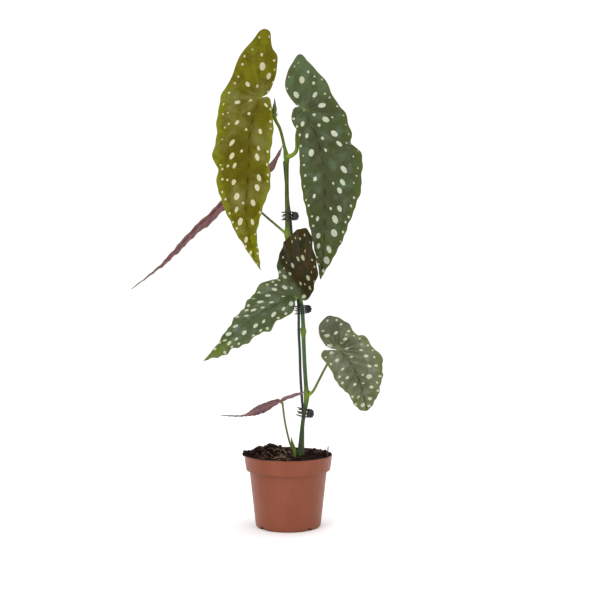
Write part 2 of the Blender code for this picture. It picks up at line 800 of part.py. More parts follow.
def main():
    """Builds the pot, the soil, the plant and its support."""
    clear_scene()
    parts = collection("potted_polka_dot_begonia")
    guides = collection("cutters")
    build_pot(parts, guides)
    cane = smooth(CANE, 2)
    stick = smooth([(*point, STICK_RADIUS) for point in STICK], 2)
    shoot = smooth(BASAL_SHOOT, PETIOLE_STEPS)
    petioles = {key: petiole_points(key) for key in PETIOLES}
    buried = {"cane": cane, "stick": stick, "basal_shoot": shoot, "petiole_f": petioles["f"]}
    build_soil(parts, guides, buried)
    add_object("cane", tube_curve("cane", cane, resolution=3), parts, "cane_skin")
    add_object("terminal_bud", tube_curve("terminal_bud", smooth(BUD, 3)), parts, "petiole_skin")
    add_object("basal_shoot", tube_curve("basal_shoot", shoot), parts, "petiole_skin")
    add_object("support_stick", tube_curve("support_stick", stick), parts, "stick_plastic")
    for key, points in petioles.items():
        name = f"petiole_{key}"
        add_object(name, tube_curve(name, points), parts, "petiole_skin")
        build_leaf(key, parts)
    for key in CLIPS:
        build_clip(key, parts, guides)


main()
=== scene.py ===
"""Looks of a potted polka dot begonia: a staked cane with spotted, wing-shaped leaves.

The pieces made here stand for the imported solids; only the clips' hinges are read from the
pack. Lengths are millimetres unless a docstring says otherwise, and become metres where a mesh
is made.
"""

from __future__ import annotations

import json
import logging
from dataclasses import dataclass, field
from enum import Enum
from math import cos, pi, radians, sin

import bmesh
import bpy
import numpy as np
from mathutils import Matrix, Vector

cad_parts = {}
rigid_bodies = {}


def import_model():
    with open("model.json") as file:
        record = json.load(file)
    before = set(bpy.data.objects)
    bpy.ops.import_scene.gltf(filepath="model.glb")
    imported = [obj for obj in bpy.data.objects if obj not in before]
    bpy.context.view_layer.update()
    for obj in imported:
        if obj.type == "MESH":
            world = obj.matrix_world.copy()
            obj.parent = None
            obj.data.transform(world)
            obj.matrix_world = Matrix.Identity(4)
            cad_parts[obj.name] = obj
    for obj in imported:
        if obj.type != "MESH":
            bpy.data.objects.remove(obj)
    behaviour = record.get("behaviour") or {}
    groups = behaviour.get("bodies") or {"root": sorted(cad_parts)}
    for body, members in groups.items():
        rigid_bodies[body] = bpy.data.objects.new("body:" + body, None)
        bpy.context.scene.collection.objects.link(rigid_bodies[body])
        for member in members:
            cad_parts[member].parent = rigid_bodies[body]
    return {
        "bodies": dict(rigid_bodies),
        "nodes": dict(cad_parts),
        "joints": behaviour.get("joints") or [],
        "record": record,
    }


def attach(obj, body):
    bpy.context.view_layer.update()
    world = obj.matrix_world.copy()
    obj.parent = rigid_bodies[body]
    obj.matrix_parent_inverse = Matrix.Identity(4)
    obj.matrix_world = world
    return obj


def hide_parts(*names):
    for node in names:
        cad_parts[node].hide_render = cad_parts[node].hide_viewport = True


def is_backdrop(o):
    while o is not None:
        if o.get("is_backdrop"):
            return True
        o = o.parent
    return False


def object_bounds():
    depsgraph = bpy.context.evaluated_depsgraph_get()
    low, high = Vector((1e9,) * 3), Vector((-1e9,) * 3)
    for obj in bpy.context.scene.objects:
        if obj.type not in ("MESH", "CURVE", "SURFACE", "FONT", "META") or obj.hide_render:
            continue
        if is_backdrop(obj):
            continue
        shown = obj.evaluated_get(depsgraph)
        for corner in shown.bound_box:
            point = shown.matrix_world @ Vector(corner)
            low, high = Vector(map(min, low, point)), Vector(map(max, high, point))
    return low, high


log = logging.getLogger("begonia")

MM = 0.001
WELD_GAP = 0.004 * MM
SLIVER = 0.001 * MM
STEM_CUT = 60.0  # Cane and stick start at this height, inside the soil.
PLANT = "pot_and_plant"

Pair = tuple[float, float]
Triple = tuple[float, float, float]
Outline = tuple[Pair, ...]
Route = tuple[tuple[float, ...], ...]
Files = tuple[tuple[float, float, float, float], ...]
Socket = bpy.types.NodeSocket
Input = Socket | str | float | tuple[float, ...]


class Slot(Enum):
    """The record's material slots."""

    POT = "pot_plastic"
    SOIL = "potting_mix"
    CANE = "cane_skin"
    STALK = "petiole_skin"
    LEAF = "leaf_skin"
    STICK = "stick_plastic"
    CLIP = "clip_plastic"
    STEEL = "spring_steel"


class Jaw(Enum):
    """The two halves of a claw clip, with the side that each lies on."""

    FRONT = 1
    BACK = -1


# ----------------------------------------------------------------------------- arithmetic


def unit(vectors: np.ndarray) -> np.ndarray:
    """The vectors at length one, along the last axis."""
    length = np.linalg.norm(vectors, axis=-1, keepdims=True)
    return np.asarray(vectors, float) / np.maximum(length, 1e-12)


def step(low: float, high: float, value: np.ndarray) -> np.ndarray:
    """A smooth step: 0 below low, 1 above high, and 3t^2 - 2t^3 between."""
    t = np.clip((np.asarray(value, float) - low) / (high - low), 0, 1)
    return t * t * (3 - 2 * t)


def bell(value: np.ndarray, width: float | np.ndarray) -> np.ndarray:
    """A bump of height 1 at zero that falls as exp(-(value / width)^2)."""
    return np.exp(-((np.asarray(value, float) / width) ** 2))


def rooted(value: np.ndarray, power: float) -> np.ndarray:
    """The value's size to a power, with its sign kept: this squares a circle's shoulders."""
    return np.sign(value) * np.abs(value) ** power


def angles(count: int) -> np.ndarray:
    """Angles spaced evenly round one turn."""
    return np.linspace(0, 2 * pi, count, endpoint=False)


def polar(radius: np.ndarray, turn: np.ndarray, height: np.ndarray) -> np.ndarray:
    """Points at a radius, an angle and a height about Z, broadcast together."""
    x, y = radius * np.cos(turn), radius * np.sin(turn)
    return np.stack([x, y, height + 0 * x], axis=-1)


def slope(start: Pair, run: Pair, steps: int) -> list[Pair]:
    """Evenly spaced points on a straight line from `start` to `start + run`, without its start."""
    shares = np.linspace(0, 1, steps + 1)[1:]
    return [(start[0] + run[0] * share, start[1] + run[1] * share) for share in shares]


def travel(path: np.ndarray) -> np.ndarray:
    """The distance gone along a path at each of its points."""
    return np.concatenate([[0], np.cumsum(np.linalg.norm(np.diff(path, axis=0), axis=1))])


def sample(path: np.ndarray, gone: np.ndarray, at: np.ndarray) -> np.ndarray:
    """Where a path is at the given distances, when `gone` is the distance at its points."""
    return np.stack([np.interp(at, gone, column) for column in path.T], axis=-1)


def curve_through(points: np.ndarray, steps: int) -> np.ndarray:
    """A Catmull-Rom curve through the points: each span is a cubic of its four nearest points.

    Args:
        points: The points to pass through, one to a row, with any number of columns.
        steps: How many samples to take in each span.

    Returns:
        The samples in order, with the last point at the end.
    """
    points = np.asarray(points, float)
    before, after = 2 * points[0] - points[1], 2 * points[-1] - points[-2]
    held = np.vstack([before, points, after])
    p0, p1, p2, p3 = (held[i : len(held) - 3 + i][:, None] for i in range(4))
    t = np.linspace(0, 1, steps, endpoint=False)[None, :, None]
    bend = 2 * p0 - 5 * p1 + 4 * p2 - p3
    cubic = p1 + 0.5 * ((p2 - p0) * t + bend * t**2 + (3 * (p1 - p2) + p3 - p0) * t**3)
    return np.vstack([cubic.reshape(-1, points.shape[1]), points[-1]])


def noise(points: np.ndarray, size: float, seed: int, octaves: int = 1) -> np.ndarray:
    """Smooth noise from -1 to 1: random values on a lattice, blended by a smooth step.

    Args:
        points: Points in millimetres, xyz in the last axis.
        size: The lattice's spacing; each further octave halves it and its strength.
        seed: Chooses the random values.
        octaves: How many layers are added.

    Returns:
        One value for each point.
    """
    total, weight = np.zeros(points.shape[:-1]), 0.0
    for octave in range(octaves):
        table = np.random.default_rng(seed + octave).uniform(-1, 1, 4096)
        place = points / (size / 2**octave) + 100.0 * octave
        cell = np.floor(place).astype(np.int64)
        part = place - cell
        part = part * part * (3 - 2 * part)
        layer = np.zeros(points.shape[:-1])
        for corner in np.ndindex(2, 2, 2):
            x, y, z = (cell + corner)[..., 0], (cell + corner)[..., 1], (cell + corner)[..., 2]
            value = table[(x * 73856093 ^ y * 19349663 ^ z * 83492791) % 4096]
            share = np.prod(np.where(np.array(corner) == 1, part, 1 - part), axis=-1)
            layer += value * share
        total += layer * 0.5**octave
        weight += 0.5**octave
    return total / weight


def heading_frames(path: np.ndarray) -> tuple[np.ndarray, np.ndarray]:
    """Two unit vectors across a path at each point, turned as little as a fixed axis allows.

    The first is the path's direction crossed with the world axis that it turns to least.

    Args:
        path: The centre line, one point to a row.

    Returns:
        The two vectors across the path, one row for each point.
    """
    along = unit(np.gradient(path, axis=0))
    axis = np.eye(3)[int(np.argmin(np.abs(along).max(0)))]
    side = unit(np.cross(along, axis))
    return side, np.cross(along, side)


# ----------------------------------------------------------------------------- mesh making


@dataclass
class Shell:
    """A piece's mesh in the making: grids of points whose neighbours are joined by quads."""

    name: str
    points: list[np.ndarray] = field(default_factory=list)
    faces: list[np.ndarray] = field(default_factory=list)
    inks: list[np.ndarray] = field(default_factory=list)
    values: dict[str, list[np.ndarray]] = field(default_factory=dict)
    count: int = 0

    def sheet(
        self,
        grid: np.ndarray,
        wrap: bool = False,
        ink: int = 0,
        flip: bool = False,
        **values: np.ndarray,
    ) -> None:
        """Adds a grid of points, with a quad in each cell.

        Args:
            grid: Points in millimetres, rows by columns by xyz.
            wrap: Whether the last column joins the first.
            ink: Which of the piece's finishes the quads take.
            flip: Whether the faces look the other way.
            **values: A number for each point, kept as an attribute of that name.
        """
        quads = self._quads(*grid.shape[:2], wrap)
        spread = {name: np.broadcast_to(value, grid.shape[:2]) for name, value in values.items()}
        self._keep(grid, quads[:, ::-1] if flip else quads, ink, spread)

    def many(self, grids: np.ndarray, **values: np.ndarray) -> None:
        """Adds copies of a closed shape, each a grid whose columns wrap.

        Args:
            grids: Points, copies by rows by columns by xyz.
            **values: A number for each copy, kept as an attribute of that name.
        """
        copies, rows, columns = grids.shape[:3]
        shifts = (np.arange(copies) * rows * columns)[:, None, None]
        quads = (self._quads(rows, columns, True) + shifts).reshape(-1, 4)
        spread = {name: np.repeat(value, rows * columns) for name, value in values.items()}
        self._keep(grids, quads, 0, spread)

    @staticmethod
    def _quads(rows: int, columns: int, wrap: bool) -> np.ndarray:
        """The corners of a grid's quads, as point numbers.

        Args:
            rows: How many rows of points there are.
            columns: How many columns.
            wrap: Whether the last column joins the first.

        Returns:
            Four point numbers for each quad, one quad to a row.
        """
        at = np.arange(rows * columns).reshape(rows, columns)
        if wrap:
            at = np.concatenate([at, at[:, :1]], axis=1)
        corners = (at[:-1, :-1], at[:-1, 1:], at[1:, 1:], at[1:, :-1])
        return np.stack(corners, axis=-1).reshape(-1, 4)

    def _keep(
        self, points: np.ndarray, quads: np.ndarray, ink: int, values: dict[str, np.ndarray]
    ) -> None:
        """Stores points, quads and values behind those that are there; a missing value is 0.

        Args:
            points: Points, xyz in the last axis.
            quads: Their quads, numbered from 0.
            ink: Which of the piece's finishes the quads take.
            values: The named numbers, one for each point.
        """
        self.faces.append(quads + self.count)
        self.inks.append(np.full(len(quads), ink))
        self.points.append(points.reshape(-1, 3))
        added = len(self.points[-1])
        for name in {**self.values, **values}:
            store = self.values.setdefault(name, [np.zeros(self.count)] if self.count else [])
            store.append(np.ravel(values.get(name, np.zeros(added))).astype(float))
        self.count += added

    def tube(
        self, path: np.ndarray, radii: np.ndarray, sides: int, **values: np.ndarray
    ) -> None:
        """Adds a closed tube: circles across the path, with half-round ends.

        Args:
            path: The centre line.
            radii: A radius for each point of the path, or for each point and side.
            sides: How many points go round the tube.
            **values: A number for each point of the path.
        """
        radii = np.broadcast_to(np.reshape(radii, (len(radii), -1)), (len(path), sides))
        one, other = heading_frames(path)
        lead = unit(np.gradient(path, axis=0))
        turns = angles(sides)
        ends = np.linspace(0, pi / 2, 5)
        rings, rest = [], []
        for place, sign in ((0, -1), (-1, 1)):
            swing = ends[::-1] if sign < 0 else ends[1:]
            if sign > 0:
                rings.append(self._rings(path[1:], radii[1:], one[1:], other[1:], turns))
                rest.append(np.arange(1, len(path)))
            reach = sign * np.sin(swing) * radii[place].mean()
            line = path[place] + reach[:, None] * lead[place]
            wide = np.cos(swing)[:, None] * radii[place]
            frame = [np.repeat(v[place][None], len(swing), 0) for v in (one, other)]
            rings.append(self._rings(line, wide, *frame, turns))
            rest.append(np.full(len(swing), place % len(path)))
        at = np.concatenate(rest)
        spread = {name: value[at][:, None] for name, value in values.items()}
        self.sheet(np.concatenate(rings), wrap=True, **spread)

    @staticmethod
    def _rings(
        path: np.ndarray, radii: np.ndarray, one: np.ndarray, other: np.ndarray, turns: np.ndarray
    ) -> np.ndarray:
        """Circles across a path: centre + radius * (cos turn * one + sin turn * other).

        Args:
            path: The centres.
            radii: A radius for each centre and turn.
            one: The direction at turn 0, for each centre.
            other: The direction a quarter turn on.
            turns: The angles round the path.

        Returns:
            Points, centres by turns by xyz.
        """
        swing = np.cos(turns)[:, None] * one[:, None] + np.sin(turns)[:, None] * other[:, None]
        return path[:, None] + radii[..., None] * swing

    def turned(self, profile: np.ndarray, steps: int) -> None:
        """Adds a profile turned about Z, each of its points a circle.

        Args:
            profile: (radius, height), one point to a row.
            steps: How many points go round.
        """
        self.sheet(polar(profile[:, :1], angles(steps), profile[:, 1:]), wrap=True)

    def build(self, finishes: list[bpy.types.Material]) -> bpy.types.Object:
        """Makes the object: welds its seams and poles and turns closed shells outwards.

        Args:
            finishes: The materials, in the order of the inks.

        Returns:
            The new object, at the origin.
        """
        points = np.concatenate(self.points) * MM
        faces = np.concatenate(self.faces)
        mesh = bpy.data.meshes.new(self.name)
        mesh.vertices.add(len(points))
        mesh.vertices.foreach_set("co", points.ravel())
        mesh.loops.add(faces.size)
        mesh.loops.foreach_set("vertex_index", faces.ravel().astype(np.int32))
        mesh.polygons.add(len(faces))
        mesh.polygons.foreach_set("loop_start", np.arange(0, faces.size, 4, dtype=np.int32))
        mesh.polygons.foreach_set("material_index", np.concatenate(self.inks).astype(np.int32))
        mesh.update(calc_edges=True)
        for name, stored in self.values.items():
            layer = mesh.attributes.new(name, "FLOAT", "POINT")
            layer.data.foreach_set("value", np.concatenate(stored).astype(np.float32))
        weld(mesh)
        mesh.shade_smooth()
        for finish in finishes:
            mesh.materials.append(finish)
        piece = bpy.data.objects.new(self.name, mesh)
        bpy.context.scene.collection.objects.link(piece)
        return piece


def weld(mesh: bpy.types.Mesh) -> None:
    """Joins points that coincide, drops faces with no area and turns closed shells outwards.

    Args:
        mesh: The mesh, changed in place.
    """
    work = bmesh.new()
    work.from_mesh(mesh)
    bmesh.ops.remove_doubles(work, verts=work.verts, dist=WELD_GAP)
    bmesh.ops.dissolve_degenerate(work, edges=work.edges, dist=SLIVER)
    bmesh.ops.recalc_face_normals(work, faces=work.faces)
    work.to_mesh(mesh)
    work.free()


def publish(piece: bpy.types.Object, slot: str, *nodes: str, body: str = PLANT) -> bpy.types.Object:
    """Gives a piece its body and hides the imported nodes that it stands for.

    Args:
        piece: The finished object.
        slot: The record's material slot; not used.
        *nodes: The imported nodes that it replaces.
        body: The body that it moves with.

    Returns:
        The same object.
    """
    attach(piece, body)
    if nodes:
        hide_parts(*nodes)
    log.info("%s: %d faces, on %s", piece.name, len(piece.data.polygons), body)
    return piece


# ----------------------------------------------------------------------------- finishes


def paint(code: str) -> tuple[float, float, float, float]:
    """The linear colour of a screen colour: ((c + 0.055) / 1.055)^2.4, straight when dark.

    Args:
        code: The screen colour, such as '#8f5a40'.

    Returns:
        Red, green, blue and an alpha of 1.
    """
    screen = [int(code[i : i + 2], 16) / 255 for i in (1, 3, 5)]
    linear = [c / 12.92 if c <= 0.04045 else ((c + 0.055) / 1.055) ** 2.4 for c in screen]
    return (*linear, 1.0)


class Recipe:
    """A material's nodes, written as calls; sizes are millimetres on the object."""

    def __init__(self, name: str) -> None:
        """Starts from an empty tree with a Principled shader.

        Args:
            name: The material's name.
        """
        self.material = bpy.data.materials.new(name)
        self.material.use_nodes = True
        self.tree = self.material.node_tree
        self.tree.nodes.clear()
        self.shader = self.tree.nodes.new("ShaderNodeBsdfPrincipled")
        out = self.tree.nodes.new("ShaderNodeOutputMaterial")
        self.tree.links.new(self.shader.outputs["BSDF"], out.inputs["Surface"])
        self._where: Socket | None = None

    def put(self, socket: Socket, value: Input) -> None:
        """Links or sets one input.

        Args:
            socket: The input.
            value: A socket to link, a screen colour, or a plain value.
        """
        if isinstance(value, bpy.types.NodeSocket):
            self.tree.links.new(value, socket)
        elif isinstance(value, str):
            socket.default_value = paint(value)
        else:
            socket.default_value = value

    def node(
        self, kind: str, settings: dict[str, str] | None = None, **inputs: Input
    ) -> bpy.types.Node:
        """Adds a node.

        Args:
            kind: The node's type, without the 'ShaderNode' in front.
            settings: Its properties.
            **inputs: Its inputs by name, with '_' for a space.

        Returns:
            The node.
        """
        made = self.tree.nodes.new("ShaderNode" + kind)
        for name, value in (settings or {}).items():
            setattr(made, name, value)
        for name, value in inputs.items():
            self.put(made.inputs[name.replace("_", " ")], value)
        return made

    def where(self, stretch: Triple = (1, 1, 1)) -> Socket:
        """Object coordinates in millimetres.

        Args:
            stretch: How much longer a pattern on them grows along each axis.

        Returns:
            The coordinates.
        """
        if self._where is None:
            self._where = self.node("TexCoord").outputs["Object"]
        scale = tuple(1 / MM / s for s in stretch)
        return self.node("Mapping", Vector=self._where, Scale=scale).outputs["Vector"]

    def value(self, name: str) -> Socket:
        """A number that the mesh carries at its points."""
        return self.node("Attribute", {"attribute_name": name}).outputs["Fac"]

    def cloud(self, size: float, detail: float = 2, stretch: Triple = (1, 1, 1)) -> Socket:
        """Noise about 0.5.

        Args:
            size: How large its blobs are.
            detail: How many finer layers it has.
            stretch: How much longer the blobs are along each axis.

        Returns:
            Its value.
        """
        where = self.where(stretch)
        made = self.node("TexNoise", Vector=where, Scale=1 / size, Detail=detail, Roughness=0.55)
        return made.outputs["Fac"]

    def cells(self, size: float, feature: str = "F1", stretch: Triple = (1, 1, 1)) -> Socket:
        """The distance in a Voronoi pattern.

        Args:
            size: How large its cells are.
            feature: Which distance it gives.
            stretch: How much longer the cells are along each axis.

        Returns:
            The distance.
        """
        where = self.where(stretch)
        made = self.node("TexVoronoi", {"feature": feature}, Vector=where, Scale=1 / size)
        return made.outputs["Distance"]

    def rescale(
        self, value: Input, low: float, high: float, to_low: float = 0, to_high: float = 1
    ) -> Socket:
        """A value mapped from one range to another by a smooth step.

        Args:
            value: The value.
            low: Where the step starts.
            high: Where it ends.
            to_low: What it gives at the start.
            to_high: What it gives at the end.

        Returns:
            The mapped value.
        """
        made = self.node("MapRange", {"interpolation_type": "SMOOTHSTEP"}, Value=value)
        names = ("From Min", "From Max", "To Min", "To Max")
        for name, number in zip(names, (low, high, to_low, to_high)):
            made.inputs[name].default_value = number
        return made.outputs["Result"]

    def maths(self, operation: str, one: Input, other: Input) -> Socket:
        """One arithmetic step.

        Args:
            operation: Its name.
            one: The first number.
            other: The second number.

        Returns:
            The result.
        """
        made = self.node("Math", {"operation": operation})
        self.put(made.inputs[0], one)
        self.put(made.inputs[1], other)
        return made.outputs["Value"]

    def ragged(self, value: Input, size: float, depth: float, detail: float = 2) -> Socket:
        """A value with noise added, so that an edge taken from it wanders.

        Args:
            value: The value.
            size: How large the noise's blobs are.
            depth: How strong it is.
            detail: How many finer layers it has.

        Returns:
            The sum.
        """
        return self.maths("ADD", value, self.maths("MULTIPLY", self.cloud(size, detail), depth))

    def height(self) -> Socket:
        """The height above the pot's underside, in millimetres."""
        return self.node("SeparateXYZ", Vector=self.where()).outputs["Z"]

    def blend(self, share: Input, one: Input, other: Input, how: str = "MIX") -> Socket:
        """One colour laid over another.

        Args:
            share: How much of the second colour shows.
            one: The first colour.
            other: The second colour.
            how: How they mix.

        Returns:
            The mixed colour.
        """
        made = self.node("Mix", {"data_type": "RGBA", "blend_type": how})
        self.put(made.inputs[0], share)
        self.put(made.inputs[6], one)
        self.put(made.inputs[7], other)
        return made.outputs[2]

    def relief(self, height: Socket, depth: float, under: Socket | None = None) -> Socket:
        """A bump.

        Args:
            height: The surface's height, from 0 to 1.
            depth: What a height of 1 is, in millimetres.
            under: A bump that it lies on.

        Returns:
            The bumped normal.
        """
        made = self.node("Bump", Height=height, Distance=depth * MM, Strength=1.0)
        if under is not None:
            self.put(made.inputs["Normal"], under)
        return made.outputs["Normal"]

    def done(self, **inputs: Input) -> bpy.types.Material:
        """Sets the shader's inputs.

        Args:
            **inputs: The inputs by name, with '_' for a space.

        Returns:
            The material.
        """
        for name, value in inputs.items():
            self.put(self.shader.inputs[name.replace("_", " ")], value)
        return self.material


@dataclass(frozen=True)
class LeafFinish:
    """The upper face of a leaf: satin flesh with painted sheen, faint veins, silvery spots and a
    thin edge.

    The ear's span is how far behind its crease the painted shade on the turned-up ear starts and is
    full; `ear` and `ear_glow` are that painted shade's darker and warmer tones, and the ear's spots
    are dimmed to a shaded spot colour.
    """

    name: str
    flesh: str
    patch: str
    sheen: str
    margin: str
    ear: str
    ear_glow: str
    spot: str
    vein: str = "#6f7a3c"
    edge: str = "#4d3a20"
    ear_shade_span: Pair = (10, 34)
    shaded_ear_spot: str = "#a8a58a"
    rim: float = 0.9
    painted_sheen: float = 0.75
    painted_sheen_size: float = 15
    gloss: float = 0.2

    def dress(self) -> bpy.types.Material:
        """Flesh in clouds of colour with painted sheen, then painted shade along the midrib,
        margin, painted shade on the ear, veins and spots laid over it.

        Returns:
            The material.
        """
        mix = Recipe(self.name)
        colour = mix.blend(mix.rescale(mix.cloud(24), 0.34, 0.7), self.flesh, self.patch)
        # Painted sheen: soft pale clouds of the sheen colour stand for light glancing off the leaf.
        painted_sheen = mix.rescale(mix.cloud(self.painted_sheen_size, 3), 0.44, 0.72, 0, self.painted_sheen)
        colour = mix.blend(painted_sheen, colour, self.sheen)
        across = mix.value("across")
        # Painted shade: the patch colour darkens the valley along the midrib.
        colour = mix.blend(mix.rescale(across, 0.3, 0.02, 0, 0.6), colour, self.patch)
        rim = mix.rescale(mix.ragged(across, 7, 0.4), 0.93, 1.26, 0, self.rim)
        tip = mix.rescale(mix.maths("ADD", mix.value("tip"), mix.cloud(12)), 1.15, 1.5, 0, 0.8)
        colour = mix.blend(mix.maths("MAXIMUM", rim, tip), colour, self.margin)
        back = mix.ragged(mix.value("ear"), 20, 8.0)
        near, far = (edge + 4 for edge in self.ear_shade_span)  # The noise in `back` adds 4 on average.
        shade = mix.blend(mix.rescale(mix.cloud(18, 3), 0.42, 0.6), self.ear, self.ear_glow)
        # Painted shade: behind the crease the turned-up ear takes its shade colours, and its veins
        # and spots are dimmed there.
        behind = mix.rescale(back, near, far, 0, 0.95)
        colour = mix.blend(behind, colour, shade)
        speck = mix.rescale(mix.cloud(0.9, 1), 0.35, 0.7, 0.84, 1.12)
        grey = mix.node("CombineColor", Red=speck, Green=speck, Blue=speck).outputs["Color"]
        colour = mix.blend(1.0, colour, grey, "MULTIPLY")
        line = mix.rescale(mix.value("vein"), 1.0, 0.2, 0, 0.14)
        strength = mix.rescale(mix.value("seat"), 40, 4, 0.6, 2.0)
        strength = mix.maths("MULTIPLY", strength, mix.rescale(behind, 0, 1, 1, 0.2))
        colour = mix.blend(mix.maths("MULTIPLY", line, strength), colour, self.vein)
        colour = mix.blend(mix.rescale(mix.value("seat"), 3.4, 1.0, 0, 0.45), colour, self.vein)
        mark = mix.rescale(mix.ragged(mix.value("spot"), 1.9, 1.5), 1.15, 0.45)
        fleck = mix.rescale(mix.cells(1.1), 0.2, 0.75, 0, 0.3)
        dots = mix.blend(fleck, self.spot, self.sheen)
        # Painted shade: spots on the ear are dimmed towards the shaded spot colour.
        dots = mix.blend(mix.maths("MULTIPLY", behind, 0.7), dots, self.shaded_ear_spot)
        colour = mix.blend(mix.maths("MULTIPLY", mark, 0.96), colour, dots)
        colour = mix.blend(mix.rescale(across, 0.988, 0.999, 0, 0.6), colour, self.edge)
        grain = mix.relief(mix.cells(1.5, "SMOOTH_F1"), 0.12)
        grain = mix.relief(mix.cloud(6, 2), 0.7, grain)
        rough = mix.rescale(mix.cloud(7, 2), 0.3, 0.7, 0.4, 0.56)
        return mix.done(
            Base_Color=colour, Roughness=rough, Normal=grain, Specular_IOR_Level=self.gloss
        )


@dataclass(frozen=True)
class UndersideFinish:
    """The lower face of a leaf: wine red, with paler veins and the spots showing through."""

    name: str
    flesh: str
    dark: str
    vein: str
    ghost: str = "#7c5650"
    tail: str = "#5c3836"

    def dress(self) -> bpy.types.Material:
        """Wine red in two depths, pinker veins, dull ghosts of the spots and a greyer tail.

        Returns:
            The material.
        """
        mix = Recipe(self.name)
        colour = mix.blend(mix.rescale(mix.cloud(22, 3), 0.35, 0.65), self.flesh, self.dark)
        colour = mix.blend(mix.rescale(mix.value("vein"), 1.1, 0.2, 0, 0.6), colour, self.vein)
        ghost = mix.rescale(mix.value("spot"), 0.6, -0.8, 0, 0.2)
        colour = mix.blend(ghost, colour, self.ghost)
        colour = mix.blend(mix.rescale(mix.value("tip"), 0.66, 0.9, 0, 0.75), colour, self.tail)
        web = mix.rescale(mix.cells(3.0, "DISTANCE_TO_EDGE"), 0.09, 0.0)
        colour = mix.blend(mix.maths("MULTIPLY", web, 0.3), colour, self.vein)
        grain = mix.relief(web, 0.12)
        return mix.done(
            Base_Color=colour, Roughness=0.5, Normal=grain, Specular_IOR_Level=0.12
        )


@dataclass(frozen=True)
class StemFinish:
    """Skin of a cane or leaf stalk: green in shades, bright at the nodes, with pale flecks."""

    name: str
    low: str
    middle: str
    high: str
    node: str
    blush: str
    span: Pair
    flecks: float = 0.35

    def dress(self) -> bpy.types.Material:
        """Shades by height, a blush in clouds, bright nodes and long pale flecks.

        Returns:
            The material.
        """
        mix = Recipe(self.name)
        height = mix.height()
        low, high = self.span
        middle = (low + high) / 2
        colour = mix.blend(mix.rescale(height, low, middle), self.low, self.middle)
        colour = mix.blend(mix.rescale(height, middle, high), colour, self.high)
        cloud = mix.cloud(9, 3, stretch=(1, 1, 3))
        colour = mix.blend(mix.rescale(cloud, 0.52, 0.75, 0, 0.65), colour, self.blush)
        streak = mix.rescale(mix.cloud(1.3, 2, stretch=(1, 1, 14)), 0.5, 0.66, 0, 0.5)
        colour = mix.blend(streak, colour, self.node)
        colour = mix.blend(mix.maths("MULTIPLY", mix.value("node"), 0.92), colour, self.node)
        colour = mix.blend(mix.rescale(mix.value("scar"), 0.3, 1, 0, 0.85), colour, "#7a5f3a")
        spots = mix.cells(1.5, stretch=(1, 1, 2.2))
        fleck = mix.rescale(spots, 0.24, 0.1, 0, self.flecks)
        colour = mix.blend(fleck, colour, "#b9bd8c")
        grain = mix.relief(mix.cloud(0.8, 2, stretch=(1, 1, 7)), 0.12)
        grain = mix.relief(fleck, 0.08, grain)
        rough = mix.rescale(mix.cloud(3, 2), 0.3, 0.7, 0.34, 0.5)
        return mix.done(
            Base_Color=colour, Roughness=rough, Normal=grain, Specular_IOR_Level=0.27
        )


@dataclass(frozen=True)
class PotFinish:
    """Thin injection-moulded plastic: satin, with faint flow clouds, scuffs, a dusty lip, painted
    shade on the inner wall and darkening towards the foot.
    """

    name: str = "pot_plastic"
    body: str = "#80422b"
    warm: str = "#783c22"
    cool: str = "#814c3c"
    # Dark brown for the dusty lip, the painted shade on the inner wall and the darker foot.
    dust_and_shade: str = "#2c180f"

    def dress(self) -> bpy.types.Material:
        """Three near colours in tall clouds, a dusty lip, painted shade on the inner wall, darker
        towards the foot, and fine scuffs in the gloss.

        Returns:
            The material.
        """
        mix = Recipe(self.name)
        flow = mix.rescale(mix.cloud(30, 3, stretch=(1, 1, 2.5)), 0.35, 0.65)
        colour = mix.blend(flow, self.body, self.warm)
        colour = mix.blend(mix.rescale(mix.cloud(12, 3), 0.55, 0.8, 0, 0.4), colour, self.cool)
        height = mix.height()
        lip = mix.rescale(mix.ragged(height, 4, 7.0, 4), 98.5, 102.5, 0, 0.75)
        colour = mix.blend(lip, colour, self.dust_and_shade)
        level = mix.node("Mapping", Vector=mix.where(), Scale=(1, 1, 0)).outputs["Vector"]
        away = mix.node("VectorMath", {"operation": "LENGTH"}, Vector=level).outputs["Value"]
        # The rim band's outer radius: 60 at the lip, 57.5 at its foot. Well inside it, the inner
        # wall gets painted shade.
        wall = mix.maths("ADD", mix.maths("MULTIPLY", height, 0.125), 47.875)
        painted_inner_shade = mix.rescale(mix.maths("SUBTRACT", wall, away), 0.55, 1.0, 0, 0.9)
        painted_inner_shade = mix.maths("MULTIPLY", painted_inner_shade, mix.rescale(height, 78, 80))
        colour = mix.blend(painted_inner_shade, colour, self.dust_and_shade)
        # The wall darkens towards the foot, in the same dark brown.
        foot = mix.rescale(mix.ragged(height, 5, 6.0, 4), 6.5, 2.0, 0, 0.3)
        colour = mix.blend(foot, colour, self.dust_and_shade)
        scuff = mix.rescale(mix.cloud(2.2, 4, stretch=(6, 6, 0.7)), 0.6, 0.72)
        gloss = mix.rescale(mix.cloud(14, 2), 0.3, 0.7, 0.36, 0.44)
        rough = mix.maths("ADD", gloss, mix.maths("MULTIPLY", scuff, 0.12))
        grain = mix.relief(mix.cloud(0.35, 1), 0.02)
        grain = mix.relief(mix.cloud(16, 1, stretch=(1, 1, 2)), 0.25, grain)
        return mix.done(
            Base_Color=colour, Roughness=rough, Normal=grain, Specular_IOR_Level=0.3
        )


